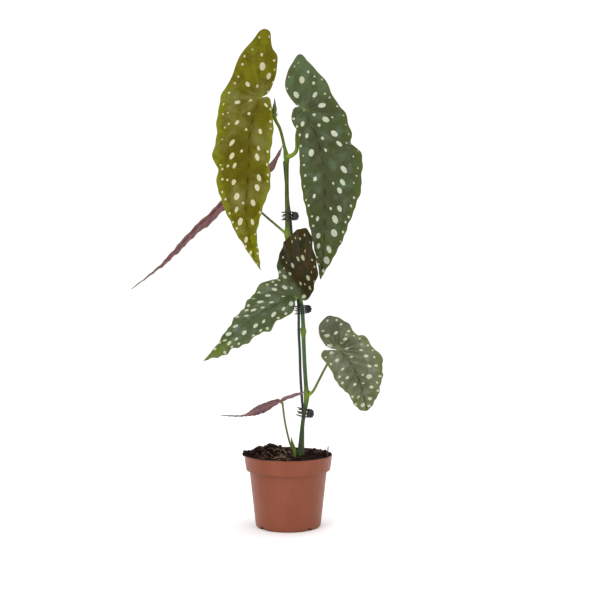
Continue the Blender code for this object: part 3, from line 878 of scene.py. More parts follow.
@dataclass(frozen=True)
class SoilFinish:
    """Peat and bark: dark crumbs whose tone changes from piece to piece."""

    name: str
    darkest: str
    middle: str
    palest: str
    rough: float = 0.9

    def dress(self) -> bpy.types.Material:
        """The tone of each crumb picks its brown, and fine clouds mottle it.

        Returns:
            The material.
        """
        mix = Recipe(self.name)
        tone = mix.value("tone")
        colour = mix.blend(mix.rescale(tone, 0.0, 0.6), self.darkest, self.middle)
        colour = mix.blend(mix.rescale(tone, 0.7, 1.0), colour, self.palest)
        mottle = mix.rescale(mix.cloud(1.6, 4), 0.35, 0.68, 0, 0.75)
        colour = mix.blend(mottle, colour, self.darkest)
        grain = mix.relief(mix.cloud(0.8, 4), 0.6)
        grain = mix.relief(mix.cells(1.1), 0.25, grain)
        rough = mix.rescale(mix.cloud(3, 2), 0.35, 0.65, self.rough - 0.2, self.rough)
        return mix.done(
            Base_Color=colour, Roughness=rough, Normal=grain, Specular_IOR_Level=0.08
        )


@dataclass(frozen=True)
class PlasticFinish:
    """Plain moulded plastic, with a fine grain and gloss that wanders a little."""

    name: str
    body: str
    worn: str
    rough: Pair
    grain: float = 0.02

    def dress(self) -> bpy.types.Material:
        """The body colour, paler clouds of wear, and a fine moulded grain.

        Returns:
            The material.
        """
        mix = Recipe(self.name)
        wear = mix.rescale(mix.cloud(2.4, 4), 0.5, 0.8, 0, 0.55)
        colour = mix.blend(wear, self.body, self.worn)
        rough = mix.rescale(mix.cloud(3, 3), 0.3, 0.7, *self.rough)
        grain = mix.relief(mix.cloud(0.4, 2), self.grain)
        return mix.done(Base_Color=colour, Roughness=rough, Normal=grain)


@dataclass(frozen=True)
class SteelFinish:
    """Drawn steel wire: grey, lengthwise scratches and a soft gloss."""

    name: str = "spring_steel"

    def dress(self) -> bpy.types.Material:
        """Grey metal in two shades with a scratched gloss.

        Returns:
            The material.
        """
        mix = Recipe(self.name)
        colour = mix.blend(mix.rescale(mix.cloud(0.7, 3), 0.3, 0.7), "#9c9c9a", "#77777a")
        rough = mix.rescale(mix.cloud(0.3, 3), 0.3, 0.7, 0.22, 0.4)
        grain = mix.relief(mix.cloud(0.15, 2), 0.01)
        return mix.done(Base_Color=colour, Roughness=rough, Normal=grain, Metallic=1.0)


OLIVE = LeafFinish(
    name="leaf_olive", flesh="#5a5500", patch="#4e4600", sheen="#716f38", margin="#717700",
    ear="#554f00", ear_glow="#646204", spot="#c6c09c", vein="#747628", edge="#5e5420",
    painted_sheen=0.9, painted_sheen_size=30, gloss=0.07,
)
GREY_GREEN = LeafFinish(
    name="leaf_grey_green", flesh="#39441a", patch="#383c1c", sheen="#4e5d44", margin="#434f0c",
    ear="#3e4a22", ear_glow="#4c5a38", spot="#bdc1ab", vein="#6f7d55", gloss=0.2,
)
BRONZE_EARED = LeafFinish(
    name="leaf_bronze_eared", flesh="#4c5538", patch="#3d482a", sheen="#6b7464", margin="#5c6c0e",
    ear="#25220a", ear_glow="#342500", spot="#b8bda4", vein="#5a643c", ear_shade_span=(2, 16),
    shaded_ear_spot="#9c9674", rim=0.4, gloss=0.05,
)
SAGE = LeafFinish(
    name="leaf_sage", flesh="#656850", patch="#51563a", sheen="#7a7f6f", margin="#5b6830",
    ear="#464a33", ear_glow="#555844", spot="#bfc2a8", vein="#6f7a48", gloss=0.16,
)
WINE_RED = UndersideFinish("underside_wine_red", "#6e383a", "#4f2329", "#8f5c55")
GREY_TAILED = UndersideFinish(
    "underside_grey_tailed", "#6e383a", "#55272c", "#8a5754", tail="#6c625c"
)
DUSTY_PINK = UndersideFinish(
    "underside_dusty_pink", "#835c60", "#6a4850", "#a17f80", ghost="#9a807c", tail="#6c625c"
)


# ----------------------------------------------------------------------------- leaves

WING_BROAD = (
    (0, 0), (-5, 8), (-15, 15), (-28, 20), (-43, 23), (-57, 23), (-68, 17), (-78, 15), (-89, 14),
    (-94, 8), (-92, 1), (-84, -8), (-73, -19), (-61, -29), (-47, -36), (-32, -43), (-21, -48),
    (-10, -57), (2, -58), (12, -61), (28, -63), (44, -61), (58, -64), (71, -68), (84, -65),
    (93, -60), (104, -62), (118, -61), (134, -57), (153, -50), (174, -41), (193, -31), (212, -20),
    (234, -6),
)
WING_NARROW = (
    (0, 0), (-2, 8), (3, 14), (18, 16), (36, 18), (57, 17), (77, 14), (93, 12), (107, 14),
    (124, 12), (139, 6), (155, 0), (172, -5), (186, -8), (200, -7), (216, -6), (234, -6),
)
WING_RIB = ((0, 0), (45, -13), (100, -16), (160, -21), (206, -15), (234, -6))


# Files of spots: share of the way from midrib to margin, size, share of the places that are
# filled, and distance between places, the last as a share of the leaf's spacing.
BROAD_FILES = ((0.5, 1, 1, 1), (0.87, 0.34, 0.9, 0.72), (0.2, 0.45, 0.7, 1), (0.7, 0.4, 0.4, 1))
NARROW_FILES = ((0.46, 0.85, 0.92, 1), (0.86, 0.34, 0.85, 0.75))
EVEN_FILES = (
    (0.55, 0.95, 1, 1), (0.86, 0.58, 0.9, 0.85), (0.25, 0.62, 0.9, 1), (0.7, 0.4, 0.35, 1),
)
EVEN_NARROW_FILES = ((0.46, 0.85, 0.95, 1), (0.84, 0.5, 0.85, 0.8))


@dataclass(frozen=True)
class Side:
    """One side of a blade: rows from a foot on the midrib to an end on the margin.

    `phase` counts side veins: whole numbers lie on a vein. `fan` rows share the seat.
    """

    foot: np.ndarray
    end: np.ndarray
    phase: np.ndarray
    fan: int


@dataclass(frozen=True)
class Blade:
    """A wing-shaped leaf, in the flat leaf's millimetres and degrees.

    Points are (along, across) from the stalk's seat: along the midrib towards the tip, and
    across to the right of someone who looks at the upper face with the tip down. `broad` runs
    from the sinus round the ear and down the broad side to the tip, `narrow` down the other
    side, and `rib` is the midrib.
    """

    name: str
    finish: LeafFinish
    base: Triple
    heading: Triple
    facing: Triple
    broad: Outline = WING_BROAD
    narrow: Outline = WING_NARROW
    rib: Outline = WING_RIB
    droop: float = 20
    ear_lift: float = 10
    crease: float = 0
    bend: float = 30
    dihedral: float = 6
    scale: float = 1
    pitch: float = 20
    quilt: float = 1.2
    ripple: float = 2.2
    scallop: float = 0.9
    spot: float = 6.5
    rows: int = 230
    columns: int = 38
    ear_step: float = 1.35
    ear_pitch: float = 1.35
    seed: int = 1
    lean: float = 0.75
    thickness: float = 0.5
    spacing: float = 19
    files: tuple[Files, Files] = (BROAD_FILES, NARROW_FILES)
    spot_lead: Triple = (0.7, 0.3, 0.0)
    ear_lead: Triple = (0.7, 0.3, 0.0)
    ear_swell: float = 1
    wave: Outline = ()
    below: UndersideFinish = WINE_RED

    @property
    def length(self) -> float:
        """The midrib's length."""
        return self.rib[-1][0] * self.scale

    def frame(self) -> tuple[np.ndarray, np.ndarray, np.ndarray]:
        """The leaf's own directions.

        Returns:
            The unit vectors along, across and out of the upper face.
        """
        along = unit(self.heading)
        facing = np.array(self.facing, float)
        out = unit(facing - facing.dot(along) * along)
        return along, np.cross(out, along), out

    def behind(self, flat: np.ndarray) -> np.ndarray:
        """How far points of the flat leaf lie behind the ear's crease; 0 in front of it."""
        skew = radians(self.crease)
        return np.maximum(-(flat[..., 0] * cos(skew) + flat[..., 1] * sin(skew)), 0)

    def rib_at(self, along: np.ndarray) -> np.ndarray:
        """How far across the midrib lies at each distance along, on a smooth curve."""
        rib = curve_through(np.array(self.rib, float) * self.scale, 8)
        return np.interp(along, rib[:, 0], rib[:, 1])

    def place(self, flat: np.ndarray) -> np.ndarray:
        """Where points of the flat leaf lie in space.

        The blade bends back along an arc towards its tip, its sides fall away from the midrib,
        and the ear turns up about a crease through the seat, over a short arc, then straight.
        `wave` adds a rise that depends only on how far along a point lies.

        Args:
            flat: (along, across) in the last axis.

        Returns:
            World points in the same order.
        """
        along, across = flat[..., 0], flat[..., 1]
        a_axis, b_axis, n_axis = self.frame()
        rate = radians(self.droop) / self.length
        ahead = np.maximum(along, 0)
        pulled = np.sin(rate * ahead) / rate - ahead
        lift, skew = radians(self.ear_lift), radians(self.crease)
        behind = self.behind(flat)
        bend = self.bend * self.scale
        turn = np.minimum(behind / bend, 1) * lift
        rest = np.maximum(behind - bend, 0)
        run = bend / lift * np.sin(turn) + rest * cos(lift)
        rise = bend / lift * (1 - np.cos(turn)) + rest * sin(lift)
        off = np.abs(across - self.rib_at(along))
        fall = np.tan(radians(self.dihedral)) * (np.sqrt(off**2 + 9) - 3)
        height = rise - (1 - np.cos(rate * ahead)) / rate - fall
        if self.wave:
            swing = curve_through(np.array(self.wave, float), 8)
            height = height + np.interp(along, swing[:, 0], swing[:, 1])
        fold = cos(skew) * a_axis + sin(skew) * b_axis
        return (
            np.array(self.base)
            + (along + pulled)[..., None] * a_axis
            + across[..., None] * b_axis
            + height[..., None] * n_axis
            + (behind - run)[..., None] * fold
        )

    def side(self, outline: Outline) -> Side:
        """Rows over one side, leaning forwards as the side veins do.

        Round the ear the rows fan out of the seat, `ear_step` apart on the margin, and the
        veins lie `ear_pitch` times as far apart as elsewhere. Past it, a row starts where a
        line from the margin, leaning by `lean`, meets the midrib.

        Args:
            outline: The margin from the seat to the tip.

        Returns:
            The rows.
        """
        steps = 24
        edge = curve_through(np.array(outline, float) * self.scale, steps)[steps:]
        off = np.abs(edge[:, 1] - self.rib_at(edge[:, 0]))
        foot = np.clip(edge[:, 0] - self.lean * off, 0, self.length)
        foot[-1] = self.length
        foot = np.maximum.accumulate(foot)
        run = travel(edge)
        first = max(int(np.argmax(foot > 0)) - 1, 1)
        even = np.clip((run - run[first]) / (run[-1] - run[first]), 0, 1) * self.length
        foot = 0.9 * foot + 0.1 * even
        fan = max(int(run[first] / self.ear_step / max(self.scale, 0.5)), 6)
        stations = np.linspace(0, self.length, self.rows + 1)
        ear = np.linspace(0, run[first], fan, endpoint=False)
        at = np.concatenate([ear, np.interp(stations, foot[first:], run[first:])])
        at[fan] = run[first]
        veins = max(1, round(run[first] / (self.ear_pitch * self.pitch)))
        ear = np.linspace(-veins, 0, fan, endpoint=False)
        phase = np.concatenate([ear, stations / self.pitch])
        ends = sample(edge, run, at)
        start = np.concatenate([np.zeros(fan), stations])
        feet = np.stack([start, self.rib_at(start)], 1)
        notch = self.scallop * (0.5 - 0.5 * np.cos(2 * pi * phase)) * step(0, 12, at)
        notch *= step(0, 12, run[-1] - at)
        ends = ends - unit(ends - feet) * notch[:, None]
        return Side(feet, ends, phase, fan)

    def spots(
        self, side: Side, lines: Files, random: np.random.Generator, taken: list[np.ndarray]
    ) -> None:
        """Spots in files that run beside the margin, one spacing apart.

        Each is longest along `spot_lead`, or `ear_lead` behind the seat: shares of the line from
        the seat, of its row, and of straight across. One that would crowd another is left out.

        Args:
            side: The rows.
            lines: Each file's share of the way out, the size of its spots, the share of its
                places that are filled, and the distance between them.
            random: Where the scatter comes from.
            taken: The spots so far, added to here: along, across, direction along, direction
                across, half length and half width.
        """
        for out, size, filled, apart in lines:
            path = side.foot + (side.end - side.foot) * out
            gone = travel(path)
            count = int(gone[-1] / self.spacing / apart)
            at = (np.arange(count) + 0.5 + random.uniform(-0.26, 0.26, count)) / count * gone[-1]
            for place in at:
                centre, foot, end = (sample(p, gone, place) for p in (path, side.foot, side.end))
                row, reach = unit(end - foot), np.linalg.norm(end - foot)
                centre = centre + row * random.uniform(-0.07, 0.07) * reach
                half = self.spot * size * random.uniform(0.68, 1.1)
                half = min(half, 0.45 * reach, 0.4 * self.spacing)
                slim = random.uniform(0.5, 0.78) if half > 0.45 * self.spot else 0.92
                over = np.array([0.0, np.sign(row[1])])
                shares = self.spot_lead if centre[0] > -10 else self.ear_lead
                lead = unit(np.dot(shares, [unit(centre), row, over]))
                crowd = [np.hypot(*(centre - spot[:2])) - spot[4] - half for spot in taken]
                if random.random() > filled or min([*crowd, 99.0]) < 0.15 * self.spacing:
                    continue
                if np.hypot(*centre) < 0.4 * self.spacing + half:
                    continue
                taken.append(np.array([*centre, *lead, half, half * slim]))

    @staticmethod
    def spot_field(flat: np.ndarray, spots: np.ndarray) -> np.ndarray:
        """How far each point lies from the nearest spot: (r - 1) * the spot's mean half size.

        r is the point's distance in the ellipse's own half sizes, so it is 1 on the edge.

        Args:
            flat: The flat points.
            spots: The spots, one to a row.

        Returns:
            The distance, negative inside a spot.
        """
        nearest = np.full(flat.shape[:-1], 50.0)
        for x, y, lead_x, lead_y, long, wide in spots:
            dx, dy = flat[..., 0] - x, flat[..., 1] - y
            u, v = dx * lead_x + dy * lead_y, dx * lead_y - dy * lead_x
            ratio = np.sqrt((u / long) ** 2 + (v / wide) ** 2)
            nearest = np.minimum(nearest, (ratio - 1) * 0.5 * (long + wide))
        return nearest

    def relief(self, side: Side, flat: np.ndarray, t: np.ndarray) -> dict[str, np.ndarray]:
        """How the face rises and falls, in millimetres along its normal.

        Veins are narrow grooves and the flesh between them swells as sin^2 of the phase; near
        the margin halfway veins appear, and the margin waves up and down as t^3.

        Args:
            side: The rows.
            flat: The flat points, rows by columns.
            t: The share of the way from midrib to margin, one for each column.

        Returns:
            The height, the ridge that stands out below, and distances for the finishes.
        """
        lead = unit(side.end - side.foot)[:, None]
        drift = np.gradient(flat, axis=0)
        drift -= (drift * lead).sum(-1, keepdims=True) * lead
        grow = np.gradient(side.phase)[:, None]
        spread = np.linalg.norm(drift, axis=-1) / np.maximum(grow, 1e-6)
        count = side.phase[:, None]
        phase = count + 0 * t
        vein = np.abs(phase - np.round(phase)) * spread
        fork = np.abs(phase + 0.5 - np.round(phase + 0.5)) * spread
        reach = np.linalg.norm(side.end - side.foot, axis=1)[:, None]
        rib = reach * t * 0.8
        rib = np.where(count < 0, np.minimum(vein, rib + 50), rib)
        room = step(1.5, 0.35 * self.pitch, spread) * step(0, 0.1 * self.pitch, reach * t)
        room = room * np.where(count < -0.5, self.ear_swell, 1)
        fade = 1 - 0.55 * t
        taper = 1 - 0.8 * np.clip(side.foot[:, :1] / self.length, 0, 1)
        groove = 0.035 * self.pitch * bell(vein, 1.0) * room * fade
        groove += 0.02 * self.pitch * bell(fork, 0.9) * room * step(0.45, 0.8, t)
        groove += 0.9 * self.scale * bell(rib, 1.6) * taper * (count >= 0)
        swell = self.quilt * np.sin(pi * phase) ** 2 * room * (1 - 0.35 * t)
        first, second = np.random.default_rng(self.seed).uniform(0, 2 * pi, 2)
        level = np.concatenate([flat, 0 * flat[..., :1]], -1)
        wander = noise(level, 34 * self.scale + 6, self.seed, 2)
        wave = 0.65 * np.sin(pi * phase + first + 1.5 * wander)
        wave = wave + 0.4 * np.sin(2 * pi * phase + second)
        wave *= np.where(count < -1, 0.4 + 0.6 * self.ear_swell, 1)
        height = swell - groove + self.ripple * t**3 * wave * step(0, 20, reach)
        height += 0.9 * self.scale * wander * room
        ridge = 0.3 * bell(vein, 0.8) * room * fade
        ridge += 1.5 * self.scale * bell(rib, 1.5) * taper * (count >= 0)
        return {"height": height, "ridge": ridge, "vein": np.minimum(vein + 4 * (1 - room), rib)}

    def faces_out(self, middle: np.ndarray, fan: int) -> np.ndarray:
        """Unit normals of one side's grid, towards the upper face.

        Args:
            middle: The middle surface's points.
            fan: How many rows share the seat.

        Returns:
            One normal for each point; where points coincide, the nearest row's or column's.
        """
        out = unit(np.cross(np.gradient(middle, axis=0), np.gradient(middle, axis=1)))
        out[-1] = out[-2]
        out[:fan, 0] = out[:fan, 1]
        if (out[fan:] @ self.frame()[2]).mean() < 0:
            out = -out
        return out

    def build(self) -> bpy.types.Object:
        """Both sides of the leaf, above and below, closed by a rounded edge.

        Returns:
            The leaf.
        """
        shell = Shell(self.name)
        random = np.random.default_rng(self.seed)
        sides = []
        for outline, share in ((self.broad, 1.0), (self.narrow, 0.62)):
            side = self.side(outline)
            t = np.linspace(0, 1, int(self.columns * share) + 1) ** 1.25
            flat = side.foot[:, None] + (side.end - side.foot)[:, None] * t[None, :, None]
            middle = self.place(flat)
            sides.append((side, t, flat, middle, self.faces_out(middle, side.fan)))
        taken: list[np.ndarray] = []
        for (side, *_), lines in zip(sides, self.files):
            self.spots(side, lines, random, taken)
        spots = np.array(taken)
        shared = unit(sum(out[side.fan :, 0] for side, *_, out in sides))
        for side, t, flat, middle, out in sides:
            out[side.fan :, 0] = shared
            out[-1] = shared[-1]
            out[: side.fan + 1, 0] = shared[0]
            self.add_side(shell, side, t, flat, middle, out, spots)
        return shell.build([self.finish.dress(), self.below.dress()])

    def add_side(
        self, shell: Shell, side: Side, t: np.ndarray, flat: np.ndarray, middle: np.ndarray,
        out: np.ndarray, spots: np.ndarray,
    ) -> None:
        """Adds one side's upper face, lower face and rounded edge.

        Args:
            shell: The mesh in the making.
            side: The rows.
            t: The share of the way out, one for each column.
            flat: The flat points.
            middle: The flat points in space.
            out: Their normals.
            spots: The whole leaf's spots.
        """
        form = self.relief(side, flat, t[None, :])
        for rise in (form["height"], form["ridge"]):
            rise[-1] = rise[-1, 0]
        height, ridge = form["height"][..., None], form["ridge"][..., None]
        upper = middle + out * (height + self.thickness / 2)
        lower = middle + out * (height - self.thickness / 2 - ridge)
        values = {
            "spot": self.spot_field(flat, spots),
            "vein": form["vein"],
            "across": np.broadcast_to(t[None, :], flat.shape[:2]),
            "seat": np.linalg.norm(flat, axis=-1),
            "tip": np.maximum(flat[..., 0] / self.length, 0),
            "ear": self.behind(flat),
        }
        shell.sheet(upper, ink=0, **values)
        shell.sheet(lower, ink=1, **values)

        def edge(grid: np.ndarray) -> np.ndarray:
            """The first row, then the last column: the side's open edge."""
            return np.concatenate([grid[0], grid[1:, -1]])

        beyond = np.concatenate([middle[0] - middle[1], middle[1:, -1] - middle[1:, -2]])
        beyond = unit(beyond) * self.thickness / 2
        beyond[[0, -1]] = 0
        nose = edge(middle + out * height) + beyond
        strip = np.stack([edge(upper), nose, edge(lower)], axis=1)
        rim = {name: edge(value)[:, None] + np.zeros((1, 3)) for name, value in values.items()}
        rim["across"] = np.ones_like(rim["across"])
        shell.sheet(strip, ink=0, **rim)


BLADES = {
    "a": Blade(
        name="leaf_a_blade", finish=OLIVE, base=(-37.3, -14, 579.6), heading=(-0.02, -0.17, -0.98),
        facing=(-0.2, -0.97, 0.17), droop=25, quilt=1.8, spot=5.3, seed=11,
    ),
    "b": Blade(
        name="leaf_b_blade", finish=GREY_GREEN, base=(21.3, -26, 561), heading=(0.09, -0.12, -0.99),
        facing=(0.15, -0.97, 0.15),
        broad=(
            (0, 0), (-4, -7), (-13, -14), (-26, -21), (-38, -23), (-50, -19), (-62, -13),
            (-73, -4), (-73, 3), (-64, 11), (-54, 20), (-45, 30), (-31, 37), (-16, 43), (-5, 51),
            (3, 58), (18, 60), (32, 63), (46, 62), (53, 69), (60, 75), (74, 75), (90, 73),
            (108, 71), (122, 66), (144, 56), (168, 45), (190, 34), (211, 20), (229, 8),
        ),
        narrow=(
            (0, 0), (-5, -8), (-1, -15), (10, -18), (21, -15), (30, -11), (42, -12), (60, -11),
            (84, -12), (114, -10), (140, -6), (165, -2), (190, 2), (229, 8),
        ),
        rib=((0, 0), (35, 13), (76, 20), (122, 19), (169, 15), (229, 8)), droop=20, quilt=1.7,
        spot=5.3, spacing=17.5, seed=22,
    ),
    "c": Blade(
        name="leaf_c_blade", finish=BRONZE_EARED, base=(9.3, -30, 312.3),
        heading=(-0.764, -0.361, -0.534), facing=(-0.1, -0.75, 0.65),
        broad=(
            (0, 0), (-3, 15), (-16, 22), (-34, 29), (-51, 31), (-66, 24), (-81, 16), (-94, 6),
            (-98, -8), (-92, -23), (-80, -38), (-65, -52), (-47, -64), (-31, -67), (-18, -61),
            (-10, -48), (-3, -43), (4, -46), (16, -50), (36, -45), (62, -35), (91, -26),
            (120, -15), (150, -8),
        ),
        narrow=(
            (0, 0), (12, 15), (30, 19), (44, 17), (58, 21), (72, 14), (87, 16), (102, 11),
            (127, 5), (150, -8),
        ),
        rib=((0, 0), (50, -10), (100, -10), (150, -8)), droop=10, ear_lift=70, crease=-12, bend=20,
        dihedral=2, pitch=18, spacing=14, quilt=0.9, ripple=3.2, ear_swell=0.3,
        ear_lead=(0.0, 0.15, 0.85), files=(EVEN_FILES, EVEN_NARROW_FILES), spot=4.8, seed=33,
    ),
    "d": Blade(
        name="leaf_d_blade", finish=SAGE, base=(66.8, -26, 240.2), heading=(0.38, -0.35, -0.86),
        facing=(0.1, -0.85, 0.45),
        broad=(
            (0, 0), (-8, -11), (-24, -16), (-36, -14), (-45, -6), (-48, 6), (-43, 18),
            (-32, 28), (-21, 30), (-12, 35), (-9, 43), (2, 45), (14, 49), (24, 54), (38, 51),
            (52, 45), (67, 36), (82, 23), (90, 9),
        ),
        narrow=(
            (0, 0), (-3, -10), (-6, -19), (-1, -24), (8, -23), (20, -20), (33, -19), (47, -16),
            (59, -9), (74, -6), (85, 0), (90, 9),
        ),
        rib=((0, 0), (14, 6), (31, 10), (52, 11), (90, 9)), droop=30, pitch=13, spacing=13,
        quilt=3.4, ripple=2.8, spot=3.7, spot_lead=(0.1, 0.4, 0.8), ear_lead=(0.1, 0.2, 0.9),
        files=(EVEN_FILES, EVEN_NARROW_FILES), rows=170, columns=34, seed=44,
    ),
    "e": Blade(
        name="leaf_e_blade", finish=OLIVE, base=(-72.9, 45, 462.3), heading=(-0.74, 0.02, -0.67),
        facing=(-0.67, 0.03, 0.74),
        broad=(
            (0, 0), (-5, 8), (-15, 15), (-28, 21), (-43, 26), (-57, 28), (-71, 25), (-85, 20),
            (-97, 12), (-104, 2), (-98, -10), (-86, -20), (-72, -28), (-58, -34), (-44, -38),
            (-30, -42), (-16, -48), (-2, -54), (12, -59), (28, -62), (44, -61), (58, -64),
            (70, -67), (82, -63), (92, -55), (104, -51), (118, -50), (134, -49), (153, -45),
            (174, -38), (193, -30), (212, -20), (234, -6),
        ),
        droop=0.5, ear_lift=5,
        wave=(
            (-110, -2), (-92, -4), (-75, -8), (-59, -11), (-42, -9), (-22, -4), (0, 0), (28, 2.2),
            (51, 1.6), (71, 2.2), (90, 1.3), (118, -0.9), (150, -3.2), (178, -2.4), (234, 0),
        ),
        dihedral=4, scale=0.88, pitch=18, quilt=0.6, ripple=0.7, scallop=0.3, below=GREY_TAILED,
        spot=5.8, rows=190, columns=30, seed=55,
    ),
    "f": Blade(
        name="leaf_f_blade", finish=SAGE, base=(-9.3, -30, 172.4), heading=(-0.945, 0, -0.33),
        facing=(-0.28, 0.44, 0.85),
        broad=(
            (0, 0), (-4, 5), (-14, 6), (-26, 4), (-36, -1), (-28, -4), (-18, -6), (-8, -7),
            (3, -9), (15, -17), (27, -23), (38, -20), (45, -13), (51, -7.5), (58, -4.5),
            (68, -3.4), (84, -1.5),
        ),
        narrow=(
            (0, 0), (2, 6), (12, 8.5), (26, 9.5), (37, 7.5), (46, 3.5), (54, 1), (68, 0.6),
            (84, -1.5),
        ),
        rib=((0, 0), (18, -5), (36, -5), (54, -2.2), (84, -1.5)), droop=-16, ear_lift=1,
        wave=(
            (-40, 0.8), (-14, 1.6), (0, 1.8), (13, 2.0), (26, 1.5), (38, -1), (48, -4.6),
            (60, -5.4), (84, -1.5),
        ),
        bend=10, pitch=8, spacing=7, quilt=0.4, ripple=0.3, scallop=0.2, below=DUSTY_PINK, spot=2.2,
        rows=90, columns=18, seed=66,
    ),
}


# ----------------------------------------------------------------------------- stems

CANE_ROUTE: Route = (
    (16.6, -4, 50, 4.4), (16.6, -4, 92, 5.4), (17.2, -4, 106, 4.2), (18.7, -4, 130, 3.0),
    (20.8, -4, 148, 2.7), (23.9, -4, 164, 2.9), (25.0, -3.6, 178, 4.1), (24.2, -3.2, 190, 2.9),
    (22.4, -3, 218, 2.7), (20.9, -3, 254, 2.8), (20.7, -3, 264, 4.1), (20.4, -3, 273, 2.8),
    (19.0, -3, 295, 2.7), (16.0, -2.5, 311, 2.8), (13.4, -2, 322, 4.0), (10.2, -2, 336, 2.8),
    (4.8, -2, 362, 2.9), (0.4, -1.5, 384, 3.1), (-1.2, -1, 396, 4.3), (-1.3, -1, 408, 3.2),
    (-1.6, -1, 435, 3.0), (-2.0, -0.6, 465, 2.8), (-2.0, -0.2, 490, 2.9), (-2.4, 0, 502, 4.0),
    (-5.0, 0, 515, 2.3), (-10.8, 0, 539, 2.1), (-16.8, 0, 551, 2.3), (-18.8, 0, 556, 2.9),
    (-19.2, 0, 560, 2.4),
)
BUD_ROUTE: Route = (
    (-19.2, 0, 559, 2.3), (-18.0, 0, 567, 2.2), (-18.4, 0, 575, 1.3), (-19.0, 0, 582, 0.4),
)
SHOOT_ROUTE: Route = (
    (10, -10, 84, 1.6), (9, -10, 103, 1.8), (5.6, -10, 115, 1.1), (3.4, -11, 123, 0.3),
)
STICK_ROUTE: Route = (
    (20.4, 4.2, 24), (20.2, 3.4, 95), (20.0, 1.4, 153), (18.6, 0.2, 172), (16.6, 0, 205),
    (15.7, 0.4, 236), (14.3, -0.6, 264), (14.1, -2.9, 295), (11.4, 4.4, 322), (8.6, 4.4, 350),
    (5.2, 3.4, 388), (2.6, 2.8, 421), (0.2, 4.2, 438), (-2.6, 4.6, 462), (-5.5, 5.0, 496),
)
STALK_ROUTES: dict[str, Route] = {
    "a": ((-18.8, 0, 555, 2.0), (-26, 1.5, 560, 1.9), (-33, -2, 571, 1.8)),
    "b": (
        (-2.4, 0, 502, 2.8), (6, -3, 504.5, 2.8), (11.6, -6, 512, 2.6), (11.6, -13, 530, 2.1),
        (16.5, -19, 548, 2.0),
    ),
    "c": ((13.4, -2, 322, 2.0), (11.5, -14, 311, 1.8), (9.8, -24, 307.5, 1.7)),
    "d": (
        (25.0, -3.6, 176, 2.0), (33.5, -6, 183, 1.9), (40.4, -9, 196, 1.7), (52.6, -16, 220, 1.6),
    ),
    "e": ((-1.2, -1, 396, 1.9), (-18, 10, 411, 1.7), (-37, 22, 428, 1.6)),
    "f": ((10, -16, 80, 1.5), (8.4, -16, 99, 1.5), (1.8, -20, 117, 1.4), (-4.1, -26, 144, 1.4)),
}

CANE_SKIN = StemFinish(
    name="cane_skin", low="#23350f", middle="#3c5a34", high="#3c4a0a", node="#5f7a0c",
    blush="#3c3413", span=(105, 470), flecks=0.35,
)
STALK_SKIN = StemFinish(
    name="stalk_skin", low="#55683a", middle="#53622c", high="#4c5c16", node="#7d9410",
    blush="#4f4428", span=(90, 560), flecks=0.22,
)
RED_STALK = StemFinish(
    name="red_stalk_skin", low="#4a5a1c", middle="#565c34", high="#5c5a40", node="#6d7a2c",
    blush="#56443a", span=(90, 170), flecks=0.2,
)
BUD_SKIN = StemFinish(
    name="bud_skin", low="#42591a", middle="#4c6020", high="#3d5226", node="#667c24",
    blush="#3f3a1c", span=(90, 560), flecks=0.1,
)


def bract(
    shell: Shell, foot: np.ndarray, tip: np.ndarray, back: np.ndarray, width: float, curl: float
) -> None:
    """Adds a small pointed sheath: a lens-shaped blade that hugs a round stem.

    Its half width follows sin(pi * u^0.62)^0.8 along its length, and across it is an arc.

    Args:
        shell: The mesh in the making.
        foot: Where it starts.
        tip: Where it ends.
        back: The direction its back looks in.
        width: Its full width.
        curl: How far its middle bows outwards, as a share of its length.
    """
    u = np.linspace(0, 1, 19)[:, None]
    v = np.linspace(-1, 1, 13)[None, :]
    lead = unit(tip - foot)
    back = unit(back - back.dot(lead) * lead)
    side = np.cross(lead, back)
    half = width / 2 * np.sin(pi * u**0.62) ** 0.8
    bow = curl * np.linalg.norm(tip - foot) * np.sin(pi * u)
    swing = v * 1.1
    out = bow + half * (np.cos(swing) - 0.4)
    line = foot + u[..., None] * (tip - foot)
    face = line + out[..., None] * back + (half * np.sin(swing))[..., None] * side
    inner = face - 0.35 * back * np.sin(pi * np.clip(u, 0.02, 0.98))[..., None]
    shell.sheet(face, node=0.35 + 0 * out)
    shell.sheet(inner, flip=True, node=0.35 + 0 * out)
    for column in (0, -1):
        shell.sheet(np.stack([face[:, column], inner[:, column]], 1), node=0.35)


